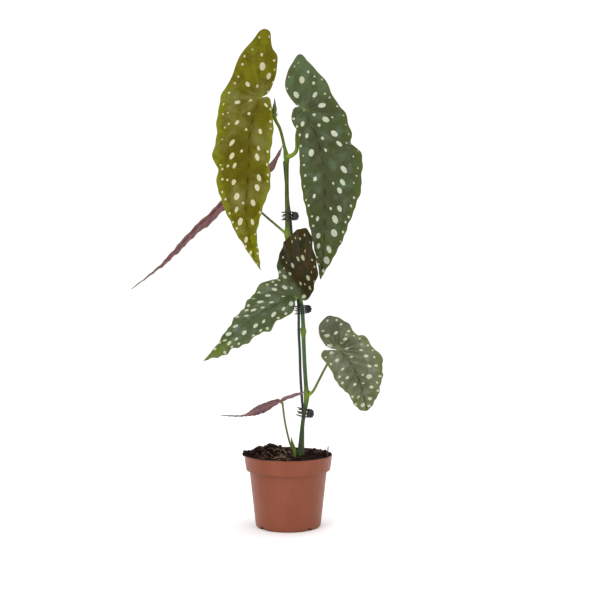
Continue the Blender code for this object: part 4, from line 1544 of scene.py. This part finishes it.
@dataclass(frozen=True)
class Cane:
    """The main stem: swollen nodes with ring scars and small side buds, and its growing tip.

    `glow` is how far the bright green reaches above and below a node.
    """

    steps: int = 9
    sides: int = 30
    glow: Pair = (7.5, 9.5)
    tip_glow: Pair = (500, 506)
    ring: float = 0.28

    @property
    def nodes(self) -> np.ndarray:
        """The swellings: where the radius is larger than at both neighbours.

        Returns:
            The route's points there: x, y, height and radius.
        """
        route = np.array(CANE_ROUTE)
        swollen = (route[1:-1, 3] > route[:-2, 3] + 0.3) & (route[1:-1, 3] > route[2:, 3] + 0.3)
        return route[1:-1][swollen]

    def build(self) -> None:
        """The cane, with a side bud at each node above the soil, and then the growing tip."""
        line = curve_through(np.array(CANE_ROUTE), self.steps)
        line = line[line[:, 2] > STEM_CUT]
        height, radius = line[:, 2], line[:, 3]
        turns = angles(self.sides)
        bright, scar = np.zeros(len(line)), np.zeros(len(line))
        above, below = self.glow
        for node in self.nodes[1:]:
            over = height - node[2]
            bright = np.maximum(bright, bell(over, np.where(over > 0, above, below)))
            scar = np.maximum(scar, bell(over - 2.2, 0.7))
            radius = radius + self.ring * (bell(over - 1.2, 0.9) - 0.5 * bell(over - 3.0, 0.8))
        bright = np.maximum(bright, step(*self.tip_glow, height) * 0.75)
        ribs = 1 + 0.018 * np.cos(5 * turns[None, :] + line[:, 2:3] / 40)
        lumps = noise(line[:, :3], 9, 3, 2)[:, None] * 0.06
        shell = Shell("cane_stem")
        shell.tube(line[:, :3], radius[:, None] * ribs + lumps, self.sides, node=bright, scar=scar)
        for index, node in enumerate(self.nodes[1:]):
            aim = np.array([cos(2.4 * index + 0.6), sin(2.4 * index + 0.6), 0.0])
            reach = node[3] * np.array([0.5, 0.98, 1.25, 1.42])[:, None] * aim
            rise = np.array([2.0, 3.2, 4.6, 6.2])[:, None] * np.array([0, 0, 1])
            bud = curve_through(node[:3] + reach + rise, 4)
            size = np.interp(np.linspace(0, 1, len(bud)), [0, 0.4, 1], [1.1, 1.0, 0.25])
            shell.tube(bud, size, 12, node=np.full(len(bud), 0.6), scar=np.zeros(len(bud)))
        publish(shell.build([CANE_SKIN.dress()]), Slot.CANE.value, "cane")
        self.build_tip()

    def build_tip(self) -> None:
        """The pointed bud, folded in two sheaths."""
        line = curve_through(np.array(BUD_ROUTE), 8)
        shell = Shell("growing_tip")
        turns = angles(20)
        fold = 1 + 0.1 * np.cos(2 * turns)[None, :]
        shell.tube(line[:, :3], line[:, 3:] * fold, 20, node=np.linspace(0.7, 0, len(line)))
        foot, top = line[0, :3], line[-4, :3]
        for aim in ((-1.0, -0.5, 0.0), (1.0, 0.3, 0.0)):
            back = np.array(aim)
            end = top + back * 0.4 - [0, 0, 3]
            bract(shell, foot + back * 1.2, end, back, width=4.6, curl=0.06)
        publish(shell.build([BUD_SKIN.dress()]), Slot.STALK.value, "terminal_bud")


@dataclass(frozen=True)
class Stalk:
    """A leaf stalk: flared where it leaves the cane, and swollen again under the leaf."""

    key: str
    bright: float = 11.0
    soil_cut: float = 84.0
    sides: int = 22

    def build(self) -> None:
        """The stalk, from inside the node to the underside of its blade."""
        blade = BLADES[self.key]
        route = np.array(STALK_ROUTES[self.key], float)
        along, _, out = blade.frame()
        seat = np.array(blade.base) - out * 2.1
        under = seat - out * 3.2 - along * 0.6
        radius = route[-1, 3]
        route = np.vstack([route, [*under, radius], [*seat, radius * 1.05]])
        line = curve_through(route, 9)
        if self.key == "f":
            line = line[line[:, 2] > self.soil_cut]
        gone = travel(line[:, :3])
        left = gone[-1] - gone
        flare = 1 + 0.45 * bell(gone, 5.5) + 0.28 * bell(left, 5.0)
        turns = angles(self.sides)
        groove = 1 - 0.05 * np.cos(turns)[None, :] ** 4
        lumps = noise(line[:, :3], 6, 9, 2)[:, None] * 0.05
        shell = Shell(f"petiole_{self.key}_stalk")
        glow = np.maximum(bell(gone, self.bright), 0.3 * bell(left, 5.0))
        radii = (line[:, 3] * flare)[:, None] * groove + lumps
        shell.tube(line[:, :3], radii, self.sides, node=glow)
        skin = RED_STALK if self.key == "f" else STALK_SKIN
        publish(shell.build([skin.dress()]), Slot.STALK.value, f"petiole_{self.key}")


@dataclass(frozen=True)
class BasalShoot:
    """The pointed young shoot beside the cane's foot, still in its sheath."""

    sides: int = 20

    def build(self) -> None:
        """The shoot and one sheath."""
        line = curve_through(np.array(SHOOT_ROUTE), 8)
        shell = Shell("young_shoot")
        shell.tube(line[:, :3], line[:, 3], self.sides, node=np.linspace(0.9, 0.1, len(line)))
        back = np.array([-0.8, -0.6, 0.0])
        bract(shell, line[10, :3] + back, line[-3, :3], back, width=4.2, curl=0.05)
        publish(shell.build([BUD_SKIN.dress()]), Slot.STALK.value, "basal_shoot")


@dataclass(frozen=True)
class SupportStick:
    """The thin plastic-coated stick that the cane is clipped to."""

    radius: float = 1.85
    sides: int = 24

    def build(self) -> None:
        """A round rod with a domed top and a faint moulding line down its side."""
        line = curve_through(np.array(STICK_ROUTE, float), 12)
        line = line[line[:, 2] > STEM_CUT]
        turns = angles(self.sides)
        seam = 1 + 0.03 * bell(np.sin((turns - 1.0) / 2), 0.12)[None, :]
        shell = Shell("stick_rod")
        shell.tube(line, np.full((len(line), 1), self.radius) * seam, self.sides)
        publish(shell.build([STICK_PLASTIC.dress()]), Slot.STICK.value, "support_stick")


# ----------------------------------------------------------------------------- clips


CLIP_PLASTIC = PlasticFinish("clip_plastic", "#161618", "#3a3a40", (0.2, 0.36))
STICK_PLASTIC = PlasticFinish("stick_plastic", "#1c2415", "#3a4630", (0.34, 0.5), grain=0.04)
STEEL = SteelFinish()

# Half the thickness of what each clip holds.
CLIP_BUNDLES = {"upper": 4.4, "middle": 3.3, "lower": 5.1}


@dataclass(frozen=True)
class ClawClip:
    """A small claw clip: two toothed jaws on a pin, pressed shut by a coil spring.

    Its own frame has the hinge along z, the teeth towards -x and the front jaw towards -y.
    """

    key: str
    half_bundle: float
    jaw: float = 1.3
    height: float = 11.6
    tooth: Pair = (1.2, 1.9)
    tooth_pitch: float = 5.0
    knuckle: Triple = (1.1, 2.1, 1.4)
    coil: tuple[float, float, float, float] = (1.5, 0.25, 2.5, 0.85)
    pin: Pair = (0.8, 11.0)
    grip: Pair = (9.6, 10.6)
    lobes: int = 8
    splay: float = 30.0
    gap: float = 0.35
    steps: int = 9

    @property
    def start(self) -> float:
        """How far in front of the hinge the middle line of a jaw lies."""
        return self.knuckle[1] + self.gap + self.jaw / 2

    def path(self) -> np.ndarray:
        """The jaw's middle line in plan, a smooth curve through seven points.

        Returns:
            (x, y) from the grip to the tips of the teeth.
        """
        belly = self.half_bundle + self.jaw / 2 + self.gap
        points = [
            (1.5, -self.start - 0.6), (-1.0, -self.start - 0.4), (-3.6, -belly), (-9.0, -belly),
            (-13.0, -belly * 0.62), (-15.0, -0.6), (-17.0, 1.6),
        ]
        return curve_through(np.array(points), self.steps)

    def strip(
        self, shell: Shell, path: np.ndarray, thick: float, tall: np.ndarray, middle: float
    ) -> None:
        """Adds a rounded bar on a plan path: its section is a squircle, |x|^5 + |z|^5 = 1.

        Args:
            shell: The mesh in the making.
            path: (x, y) in plan.
            thick: Its thickness.
            tall: Its height at each point of the path.
            middle: The height of its middle.
        """
        turns = angles(28)
        x, z = rooted(np.cos(turns), 0.4), rooted(np.sin(turns), 0.4)
        lead = unit(np.gradient(path, axis=0))
        across = np.stack([-lead[:, 1], lead[:, 0]], 1)
        gone = travel(path)
        near = np.minimum(gone, gone[-1] - gone)
        close = np.sqrt(np.clip(1 - (1 - np.clip(near / (thick * 0.6), 0, 1)) ** 2, 0, 1))
        plan = path[:, None] + across[:, None] * (x[None] * thick / 2 * close[:, None])[..., None]
        rise = middle + z[None] * (tall / 2 * close)[:, None]
        shell.sheet(np.concatenate([plan, rise[..., None]], -1), wrap=True)

    def thumb_piece(self, shell: Shell) -> None:
        """Adds the petalled finger piece: an oval whose edge goes in and out as |cos(4 turn)|^0.8.

        From its centre out, each face has a shallow dish and a raised ring, and the edge is
        half-round.

        Args:
            shell: The mesh in the making.
        """
        wide, tall = self.grip
        turns = angles(96)[None, :]
        share = np.array([0, 0.2, 0.42, 0.5, 0.56, 0.64, 0.74, 0.8, 0.88, 0.95, 0.985, 1.0])
        level = np.array([0.62, 0.62, 0.66, 0.95, 1.12, 1.12, 0.85, 0.8, 0.8, 0.72, 0.45, 0.0])
        share = np.concatenate([share, share[-2::-1]])[:, None]
        level = np.concatenate([level, -level[-2::-1]])[:, None]
        petal = np.abs(np.cos(self.lobes / 2 * turns)) ** 0.8 - 0.5
        lobe = 1 + 0.19 * petal * share**2
        x = wide / 2 * share * lobe * np.cos(turns) + wide / 2 - 2.0
        z = tall / 2 * share * lobe * np.sin(turns)
        y = level * self.jaw / 2 + 0 * turns
        angle = radians(-self.splay)
        turned_x = x * cos(angle) - y * sin(angle)
        turned_y = x * sin(angle) + y * cos(angle) - self.start
        shell.sheet(np.stack([turned_x, turned_y, z], -1), wrap=True)

    def ring(self, shell: Shell, height: float) -> None:
        """Adds a knuckle: a rounded rectangle turned about the hinge.

        Args:
            shell: The mesh in the making.
            height: The height of its middle.
        """
        inner, outer, tall = self.knuckle
        turns = np.linspace(0, 2 * pi, 24)
        radius = (inner + outer) / 2 + (outer - inner) / 2 * rooted(np.cos(turns), 0.45)
        rise = height + tall / 2 * rooted(np.sin(turns), 0.45)
        shell.turned(np.stack([radius, rise], 1), 40)

    def block(self, shell: Shell, centre: Triple, size: Triple) -> None:
        """Adds a rounded block: a squircle in both directions, |x|^4 + |y|^4 + |z|^4 = 1.

        Args:
            shell: The mesh in the making.
            centre: Its middle.
            size: Its full sizes.
        """
        u = np.linspace(-pi / 2, pi / 2, 15)[:, None]
        v = angles(24)[None, :]
        cos_u, sin_u, cos_v, sin_v = (rooted(f(a), 0.5) for a in (u, v) for f in (np.cos, np.sin))
        grid = np.stack([cos_u * cos_v, cos_u * sin_v, sin_u + 0 * v], -1)
        shell.sheet(np.array(centre) + grid * np.array(size) / 2, wrap=True)

    def build_jaw(self, jaw: Jaw, place: np.ndarray, turn: np.ndarray) -> None:
        """One jaw: palm, teeth, finger piece, knuckles and the webs that carry them.

        Args:
            jaw: Which half.
            place: The hinge's middle.
            turn: The clip's own axes, as columns.
        """
        shell = Shell(f"{self.key}_clip_{jaw.name.lower()}_half")
        path = self.path()
        palm = path[: int(1.7 * self.steps) + 1]
        last = len(path) if jaw is Jaw.FRONT else int(5.2 * self.steps)
        fingers = path[int(1.2 * self.steps) : last]
        share = np.linspace(0, 1, len(palm))
        self.strip(shell, palm, self.jaw, self.height * (1 - 0.1 * step(0.55, 1, share)), 0.0)
        rows = (-1, 0, 1) if jaw is Jaw.FRONT else (-0.5, 0.5)
        thick, tall = self.tooth
        fine = 1 - 0.3 * step(0.6, 1, np.linspace(0, 1, len(fingers)))
        for row in rows:
            self.strip(shell, fingers, thick, tall * fine, row * self.tooth_pitch)
        self.thumb_piece(shell)
        _, _, turns, pitch = self.coil
        inner = turns / 2 * pitch + 0.6 + self.knuckle[2] / 2
        level = inner + (self.knuckle[2] + 0.3 if jaw is Jaw.FRONT else 0)
        for height in (-level, level):
            self.ring(shell, height)
            self.block(shell, (0.1, -self.knuckle[1] - 0.15, height), (2.2, 1.5, self.knuckle[2]))
        points = np.concatenate(shell.points) * [1, jaw.value, 1]
        shell.points = [points @ turn.T + place]
        body = f"{self.key}_front_jaw" if jaw is Jaw.FRONT else PLANT
        node = f"{self.key}_clip_{jaw.name.lower()}_jaw"
        publish(shell.build([CLIP_PLASTIC.dress()]), Slot.CLIP.value, node, body=body)

    def build(self, joint: dict[str, list[float]]) -> None:
        """The clip about its joint's axis.

        Args:
            joint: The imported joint, which gives the hinge's place and direction.
        """
        place = np.array(joint["pos_m"], float) / MM
        up = unit(joint["axis"])
        side = np.cross(up, [1.0, 0.0, 0.0])
        ahead = np.cross(unit(side), up)
        turn = np.stack([ahead, unit(side), up], axis=1)
        for jaw in Jaw:
            self.build_jaw(jaw, place, turn)
        radius, wire, turns, pitch = self.coil
        angle = np.linspace(0, 2 * pi * turns, int(turns * 28))
        rise = (angle / angle[-1] - 0.5) * turns * pitch
        helix = polar(radius, angle, rise)
        spring = Shell(f"{self.key}_clip_coil")
        spring.tube(helix @ turn.T + place, np.full(len(helix), wire), 10)
        publish(spring.build([STEEL.dress()]), Slot.STEEL.value, f"{self.key}_clip_spring")
        pin_radius, pin_length = self.pin
        half = pin_length / 2
        head = np.array(
            [
                (0, half), (0.5, half), (0.75, half - 0.08), (0.95, half - 0.3), (0.95, half - 0.5),
                (pin_radius, half - 0.6),
            ]
        )
        pin = Shell(f"{self.key}_clip_rivet")
        pin.turned(np.concatenate([head, head[::-1] * [1, -1]]), 28)
        pin.points = [np.concatenate(pin.points) @ turn.T + place]
        publish(pin.build([STEEL.dress()]), Slot.STEEL.value, f"{self.key}_clip_pin")


# ----------------------------------------------------------------------------- pot and soil


@dataclass(frozen=True)
class NurseryPot:
    """A thin tapered pot with a deep rim band, a rounded lip and four drain notches."""

    height: float = 97.0
    rim: float = 60.0
    rim_foot: float = 57.5
    band: float = 20.0
    shoulder: float = 52.8
    base: float = 44.0
    wall: float = 1.3
    floor: float = 1.8
    notches: int = 4
    first_notch: float = -50.0
    notch_half: Pair = (4.8, 3.3)
    notch_reach: float = 6.0
    notch_lift: float = 0.05
    steps: int = 224

    def profile(self) -> np.ndarray:
        """The wall's section: the foot, the tapered wall, the rim band, a round lip, the inside.

        Returns:
            (radius, height), one point to a row.
        """
        low = self.height - self.band
        outer = [
            (0, 0), (20, 0), (self.base - 2.6, 0), (self.base - 1.2, 0.12), (self.base - 0.35, 0.6),
            (self.base + 0.15, 1.5), (self.base + 0.5, 3.0),
        ]
        rise = (self.shoulder - self.base - 0.5, low - 1.9 - 3.0)
        outer += slope((self.base + 0.5, 3.0), rise, 21)
        outer += [
            (self.shoulder + 0.18, low - 1.2), (self.shoulder + 0.6, low - 0.75),
            (self.shoulder + 1.3, low - 0.6), (self.rim_foot - 0.9, low - 0.6),
            (self.rim_foot - 0.35, low - 0.42), (self.rim_foot - 0.08, low),
            (self.rim_foot + 0.02, low + 0.6),
        ]
        rise = (self.rim - 0.1 - self.rim_foot, self.band - 2.0)
        outer += slope((self.rim_foot + 0.02, low + 0.6), rise, 8)
        lip = [
            (self.rim - self.wall / 2 + self.wall / 2 * cos(a), self.height - 0.65 + 0.65 * sin(a))
            for a in np.linspace(0, pi, 9)
        ]
        inner = [
            (self.rim_foot - self.wall, low + self.wall), (self.shoulder - self.wall + 0.5, low),
            (self.shoulder - self.wall, low - self.wall), (self.base - self.wall, self.floor),
            (20, self.floor), (0, self.floor),
        ]
        return np.array([*outer, *lip, *inner])

    def build(self) -> None:
        """The turned wall, with the drain notches cut through its bottom edge."""
        shell = Shell("nursery_pot")
        shell.turned(self.profile(), self.steps)
        pot = shell.build([PotFinish().dress()])
        for index in range(self.notches):
            cut = pot.modifiers.new("notch", "BOOLEAN")
            cut.object = self.notch(radians(self.first_notch + 360 / self.notches * index))
            cut.solver = "EXACT"
        graph = bpy.context.evaluated_depsgraph_get()
        graph.update()
        mesh = bpy.data.meshes.new_from_object(pot.evaluated_get(graph))
        weld(mesh)
        for cut in list(pot.modifiers):
            bpy.data.objects.remove(cut.object, do_unlink=True)
        pot.modifiers.clear()
        pot.data = mesh
        publish(pot, Slot.POT.value, "pot")

    def notch(self, turn: float) -> bpy.types.Object:
        """A cutter for one drain notch: an upright squircle tunnel that points at the axis.

        It is set a little off the pot's underside, so that none of its edges lies in that plane.

        Args:
            turn: Where round the pot it is.

        Returns:
            The cutter.
        """
        shell = Shell("notch_cutter")
        angle = angles(32)
        wide = self.notch_half[0] * rooted(np.cos(angle), 0.6)
        tall = self.notch_half[1] * rooted(np.sin(angle), 0.6)
        share = np.array([0.0, 1, 1, 0])[:, None]
        radial = self.base + self.notch_reach * np.array([-1, -1, 1, 1])[:, None] + 0 * angle
        x = radial * cos(turn) - share * wide * sin(turn)
        y = radial * sin(turn) + share * wide * cos(turn)
        shell.sheet(np.stack([x, y, share * tall + self.notch_lift], -1), wrap=True)
        return shell.build([])


@dataclass(frozen=True)
class Soil:
    """Peat and bark that fills the pot: a lumpy bed, chips, crumbs, fibres and twigs."""

    radius: float = 58.2
    level: float = 93.0
    heap: float = 10.5
    heap_at: Pair = (-26.0, 20.0)
    heap_spread: float = 24.0
    floor: float = 2.2
    stems: tuple[Triple, ...] = (
        (16.9, -4.0, 5.6), (20.2, 3.4, 2.2), (9.4, -10.0, 2.0), (9.0, -16.0, 1.8),
    )
    twigs: tuple[tuple[float, ...], ...] = (
        (52.5, -8, 0.12, 15, 1.1), (47, 4, -0.45, 8, 0.7), (54, 6, 0.1, 7, 0.5),
        (-44, -6, 0.4, 6, 0.6),
    )
    seed: int = 5

    def rise(self, x: np.ndarray, y: np.ndarray) -> np.ndarray:
        """The bed's height: a level, a heap exp(-(r/spread)^2), and lumps of two sizes.

        Args:
            x: Where the points lie.
            y: Where they lie across.

        Returns:
            The height at each point.
        """
        away = (x - self.heap_at[0]) ** 2 + (y - self.heap_at[1]) ** 2
        place = np.stack([x, y, 0 * x], -1)
        lumps = 1.7 * noise(place, 11, self.seed, 2) + 1.1 * noise(place, 3.6, self.seed + 9, 2)
        edge = step(self.radius - 5, self.radius, np.hypot(x, y))
        heap = self.heap * np.exp(-away / self.heap_spread**2)
        return self.level + heap + lumps * (1 - edge) + edge

    def build(self) -> None:
        """The bed and everything that lies on it."""
        random = np.random.default_rng(self.seed)
        bed = Shell("soil_bed")
        turns = angles(240)[None, :]
        rings = np.linspace(0, 1, 72)[:, None] * self.radius
        x, y = rings * np.cos(turns), rings * np.sin(turns)
        top = np.stack([x, y, self.rise(x, y)], -1)
        radius = np.array([self.radius, 55.7, 51.0, 42.2, 0.0])[:, None]
        height = np.array([88.0, 78.0, 75.5, self.floor, self.floor])[:, None]
        grid = np.concatenate([top, polar(radius, turns, height)])
        bed.sheet(grid, wrap=True, tone=0.25 + 0.3 * noise(grid, 5, 8, 2))
        publish(bed.build([SOIL_BED.dress()]), Slot.SOIL.value, "soil")
        self.scatter(
            "bark_chips", BARK, random, count=230,
            long=(3.2, 8.5), wide=(0.32, 0.62), thick=(0.16, 0.34), tilt=0.5,
        )
        self.scatter(
            "peat_crumbs", PEAT, random, count=1150,
            long=(0.9, 2.7), wide=(0.7, 1.0), thick=(0.6, 0.95), tilt=2.0,
        )
        self.spill(random)
        self.fibres(random)

    def spots_on_bed(self, random: np.random.Generator, count: int, margin: float) -> np.ndarray:
        """Places spread evenly over the bed, clear of the stems.

        Args:
            random: Where the scatter comes from.
            count: How many at most.
            margin: How far from the wall they stay.

        Returns:
            (x, y), one place to a row.
        """
        radius = (self.radius - margin) * np.sqrt(random.uniform(0, 1, count * 2))
        turn = random.uniform(0, 2 * pi, count * 2)
        place = polar(radius, turn, 0)[:, :2]
        clear = np.ones(len(place), bool)
        for x, y, stem in self.stems:
            clear &= np.hypot(place[:, 0] - x, place[:, 1] - y) > stem + margin * 0.5
        return place[clear][:count]

    @staticmethod
    def lumps(random: np.random.Generator, sizes: np.ndarray, tilt: float) -> np.ndarray:
        """Rough stones: unit spheres of 6 by 8 points, dented, stretched and turned at random.

        Args:
            random: Where the shapes come from.
            sizes: Half sizes along their own axes, one row for each.
            tilt: How far from level they may lean, in radians.

        Returns:
            Points, lumps by rows by columns by xyz, about the origin.
        """
        count = len(sizes)
        u = np.linspace(-pi / 2, pi / 2, 6)[:, None]
        v = angles(8)[None, :]
        ball = rooted(polar(np.cos(u), v, np.sin(u)), 0.75)
        dents = 1 + 0.3 * random.uniform(-1, 1, (count, 6, 8))
        dents[:, [0, -1]] = dents[:, [0, -1], :1]
        shape = ball[None] * dents[..., None] * sizes[:, None, None]
        spin = random.uniform(0, 2 * pi, count)
        lean, roll = random.uniform(-tilt, tilt, (2, count))
        one, zero = np.ones(count), np.zeros(count)
        cs, ss, cl, sl, cr, sr = (f(a) for a in (spin, lean, roll) for f in (np.cos, np.sin))
        spins = np.array([[cs, -ss, zero], [ss, cs, zero], [zero, zero, one]])
        leans = np.array([[cl, zero, sl], [zero, one, zero], [-sl, zero, cl]])
        rolls = np.array([[one, zero, zero], [zero, cr, -sr], [zero, sr, cr]])
        return np.einsum("ijn,jkn,kln,nrcl->nrci", spins, leans, rolls, shape)

    def scatter(
        self, name: str, finish: SoilFinish, random: np.random.Generator, count: int,
        long: Pair, wide: Pair, thick: Pair, tilt: float,
    ) -> None:
        """Lays rough pieces over the bed, with painted shade that darkens those towards +x.

        Args:
            name: The piece's name.
            finish: Its finish.
            random: Where sizes and places come from.
            count: How many.
            long: The range of half lengths.
            wide: The range of widths, as a share of the length.
            thick: The range of thicknesses, as a share of the length.
            tilt: How far they may lean, in radians.
        """
        place = self.spots_on_bed(random, count, 1.5)
        length = random.uniform(*long, len(place))
        width = length * random.uniform(*wide, len(place))
        sizes = np.stack([length, width, length * random.uniform(*thick, len(place))], 1)
        room = self.radius - 0.3 - np.hypot(place[:, 0], place[:, 1])
        sizes *= np.clip(room / sizes[:, 0], 0.3, 1)[:, None]
        lift = self.rise(*place.T) + sizes[:, 2] * random.uniform(0.0, 0.8, len(place))
        centre = np.concatenate([place, lift[:, None]], 1)
        shapes = self.lumps(random, sizes, tilt) + centre[:, None, None]
        shell = Shell(name)
        # Painted shade: pieces towards +x, on the right of the view, are darker.
        shade = 1 - 0.55 * step(-8, 30, place[:, 0])
        shell.many(shapes, tone=random.uniform(0, 1, len(place)) ** 1.3 * shade)
        publish(shell.build([finish.dress()]), Slot.SOIL.value)

    def spill(self, random: np.random.Generator) -> None:
        """Crumbs that lie along the lip, thickest at the left, where the heap meets it.

        Args:
            random: Where the scatter comes from.
        """
        turn = np.concatenate([random.normal(pi, 0.32, 130), random.uniform(0, 2 * pi, 150)])
        radius = random.uniform(55.8, 58.6, len(turn))
        near = bell(turn - pi, 0.42)
        radius += near * random.uniform(0.0, 2.4, len(turn))
        sizes = random.uniform(0.6, 1.7, (len(turn), 1)) * (1 + 0.5 * near[:, None])
        sizes = sizes * random.uniform(0.6, 1.1, (len(turn), 3))
        height = 94.2 + random.uniform(-1, 1.6, len(turn))
        height += near * random.uniform(0.5, 5.0, len(turn))
        height = np.maximum(height, np.where(radius > 57.6, 97.2, 0))
        centre = polar(radius, turn, height)
        shell = Shell("lip_crumbs")
        shapes = self.lumps(random, sizes, 2.0) + centre[:, None, None]
        shell.many(shapes, tone=random.uniform(0, 0.9, len(turn)))
        publish(shell.build([PEAT.dress()]), Slot.SOIL.value)

    def fibres(self, random: np.random.Generator) -> None:
        """Pale root and coir fibres that lie across the bed, and a few short upright twigs.

        Args:
            random: Where the scatter comes from.
        """
        shell = Shell("soil_fibres")
        spread = self.spots_on_bed(random, 44, 8.0)
        for place in spread[(spread[:, 0] < 14) | (spread[:, 1] > 20)]:
            turn, reach = random.uniform(0, 2 * pi), random.uniform(6, 16)
            u = np.linspace(-1, 1, 13)
            bow = random.uniform(-0.35, 0.35) * reach * (1 - u**2)
            x = place[0] + reach * u * cos(turn) - bow * sin(turn)
            y = place[1] + reach * u * sin(turn) + bow * cos(turn)
            inside = np.minimum(1, (self.radius - 2) / np.maximum(np.hypot(x, y), 1))
            x, y = x * inside, y * inside
            z = self.rise(x, y) + 1.8 + 2.4 * (1 - u**2) * random.uniform(0, 1)
            radius = random.uniform(0.28, 0.6) * (1 - 0.5 * u**2)
            tone = np.full(13, random.uniform(0.4, 1))
            shell.tube(np.stack([x, y, z], 1), radius, 6, tone=tone)
        for x, y, lean, tall, thick in self.twigs:
            u = np.linspace(0, 1, 8)
            base = float(self.rise(np.array([x]), np.array([y]))[0])
            height = base - 2 + (tall + 2) * u
            line = np.stack([x + lean * tall * u, y + 0.15 * tall * u**2, height], 1)
            shell.tube(line, thick * (1 - 0.35 * u), 9, tone=np.full(8, 0.3))
        publish(shell.build([FIBRE.dress()]), Slot.SOIL.value)


SOIL_BED = SoilFinish("soil_bed", "#120904", "#24130a", "#351f12")
BARK = SoilFinish("bark", "#180c06", "#331b0f", "#4e311e", rough=0.85)
PEAT = SoilFinish("peat", "#110805", "#28150c", "#432a19")
FIBRE = SoilFinish("fibre", "#3c2c20", "#77624e", "#a5937e", rough=0.85)


# ----------------------------------------------------------------------------- studio


@dataclass(frozen=True)
class Studio:
    """A pale floor under soft light, and the camera. Lengths are metres."""

    eye: Triple = (0.016, -1.296, 0.307)
    lens: float = 57.0
    sensor: float = 36.0
    floor_radius: float = 9.0
    floor_drop: float = 0.00002
    sky: float = 1.06

    def floor(self) -> None:
        """A wide round floor a hair below height zero, its rings spaced ever wider."""
        rings = (np.linspace(0, 1, 30)[:, None] ** 2) * self.floor_radius / MM
        shell = Shell("studio_floor")
        shell.sheet(polar(rings, angles(96)[None, :], -self.floor_drop / MM), wrap=True)
        mix = Recipe("studio_paper")
        tint = mix.blend(mix.rescale(mix.cloud(90, 2), 0.3, 0.7), "#fbfbfb", "#f8f8f7")
        floor = shell.build([mix.done(Base_Color=tint, Roughness=0.85)])
        floor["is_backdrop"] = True

    def lamp(self, name: str, place: Triple, aim: Triple, size: float, power: float) -> None:
        """One soft square lamp.

        Args:
            name: Its name.
            place: Where it stands.
            aim: The point it shines at.
            size: The length of its side.
            power: Its power in watts.
        """
        data = bpy.data.lights.new(name, "AREA")
        data.size = size
        data.energy = power
        lamp = bpy.data.objects.new(name, data)
        lamp.location = place
        lamp.rotation_euler = (Vector(aim) - Vector(place)).to_track_quat("-Z", "Y").to_euler()
        bpy.context.scene.collection.objects.link(lamp)

    def build(self) -> None:
        """The floor, the lamps, the sky and the camera."""
        scene = bpy.context.scene
        self.floor()
        world = bpy.data.worlds.new("soft_sky")
        world.use_nodes = True
        back = world.node_tree.nodes["Background"]
        back.inputs["Color"].default_value = (1, 1, 1, 1)
        back.inputs["Strength"].default_value = self.sky
        scene.world = world
        self.lamp("key_light", (-0.9, -1.4, 1.6), (0, 0, 0.4), size=1.0, power=13)
        self.lamp("fill_light", (1.4, -1.2, 0.9), (0, 0, 0.3), size=1.2, power=4)
        self.lamp("top_light", (0.2, 0.3, 2.0), (0, 0, 0.3), size=1.0, power=9)
        data = bpy.data.cameras.new("camera")
        data.lens = self.lens
        data.sensor_width = self.sensor
        camera = bpy.data.objects.new("camera", data)
        camera.location = self.eye
        camera.rotation_euler = (pi / 2, 0, 0)
        scene.collection.objects.link(camera)
        scene.camera = camera
        scene.view_settings.view_transform = "Standard"


# ----------------------------------------------------------------------------- assembly


def corners(bounds: tuple[Vector, Vector]) -> list[list[float]]:
    """A box's two corners as plain lists of numbers."""
    return [[float(x) for x in corner] for corner in bounds]


def main() -> None:
    logging.basicConfig(level=logging.INFO, format="%(message)s")
    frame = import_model()
    packed = corners(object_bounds())
    NurseryPot().build()
    Soil().build()
    Cane().build()
    BasalShoot().build()
    SupportStick().build()
    for key, blade in BLADES.items():
        Stalk(key, bright=26.0 if key == "b" else 11.0).build()
        publish(blade.build(), Slot.LEAF.value, f"leaf_{key}")
    joints = {joint["name"]: joint for joint in frame["joints"]}
    for key, half in CLIP_BUNDLES.items():
        ClawClip(key, half).build(joints[f"{key}_clip_hinge"])
    Studio().build()
    {"cad": packed, "visual": corners(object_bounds())}


if __name__ == "__main__":
    main()
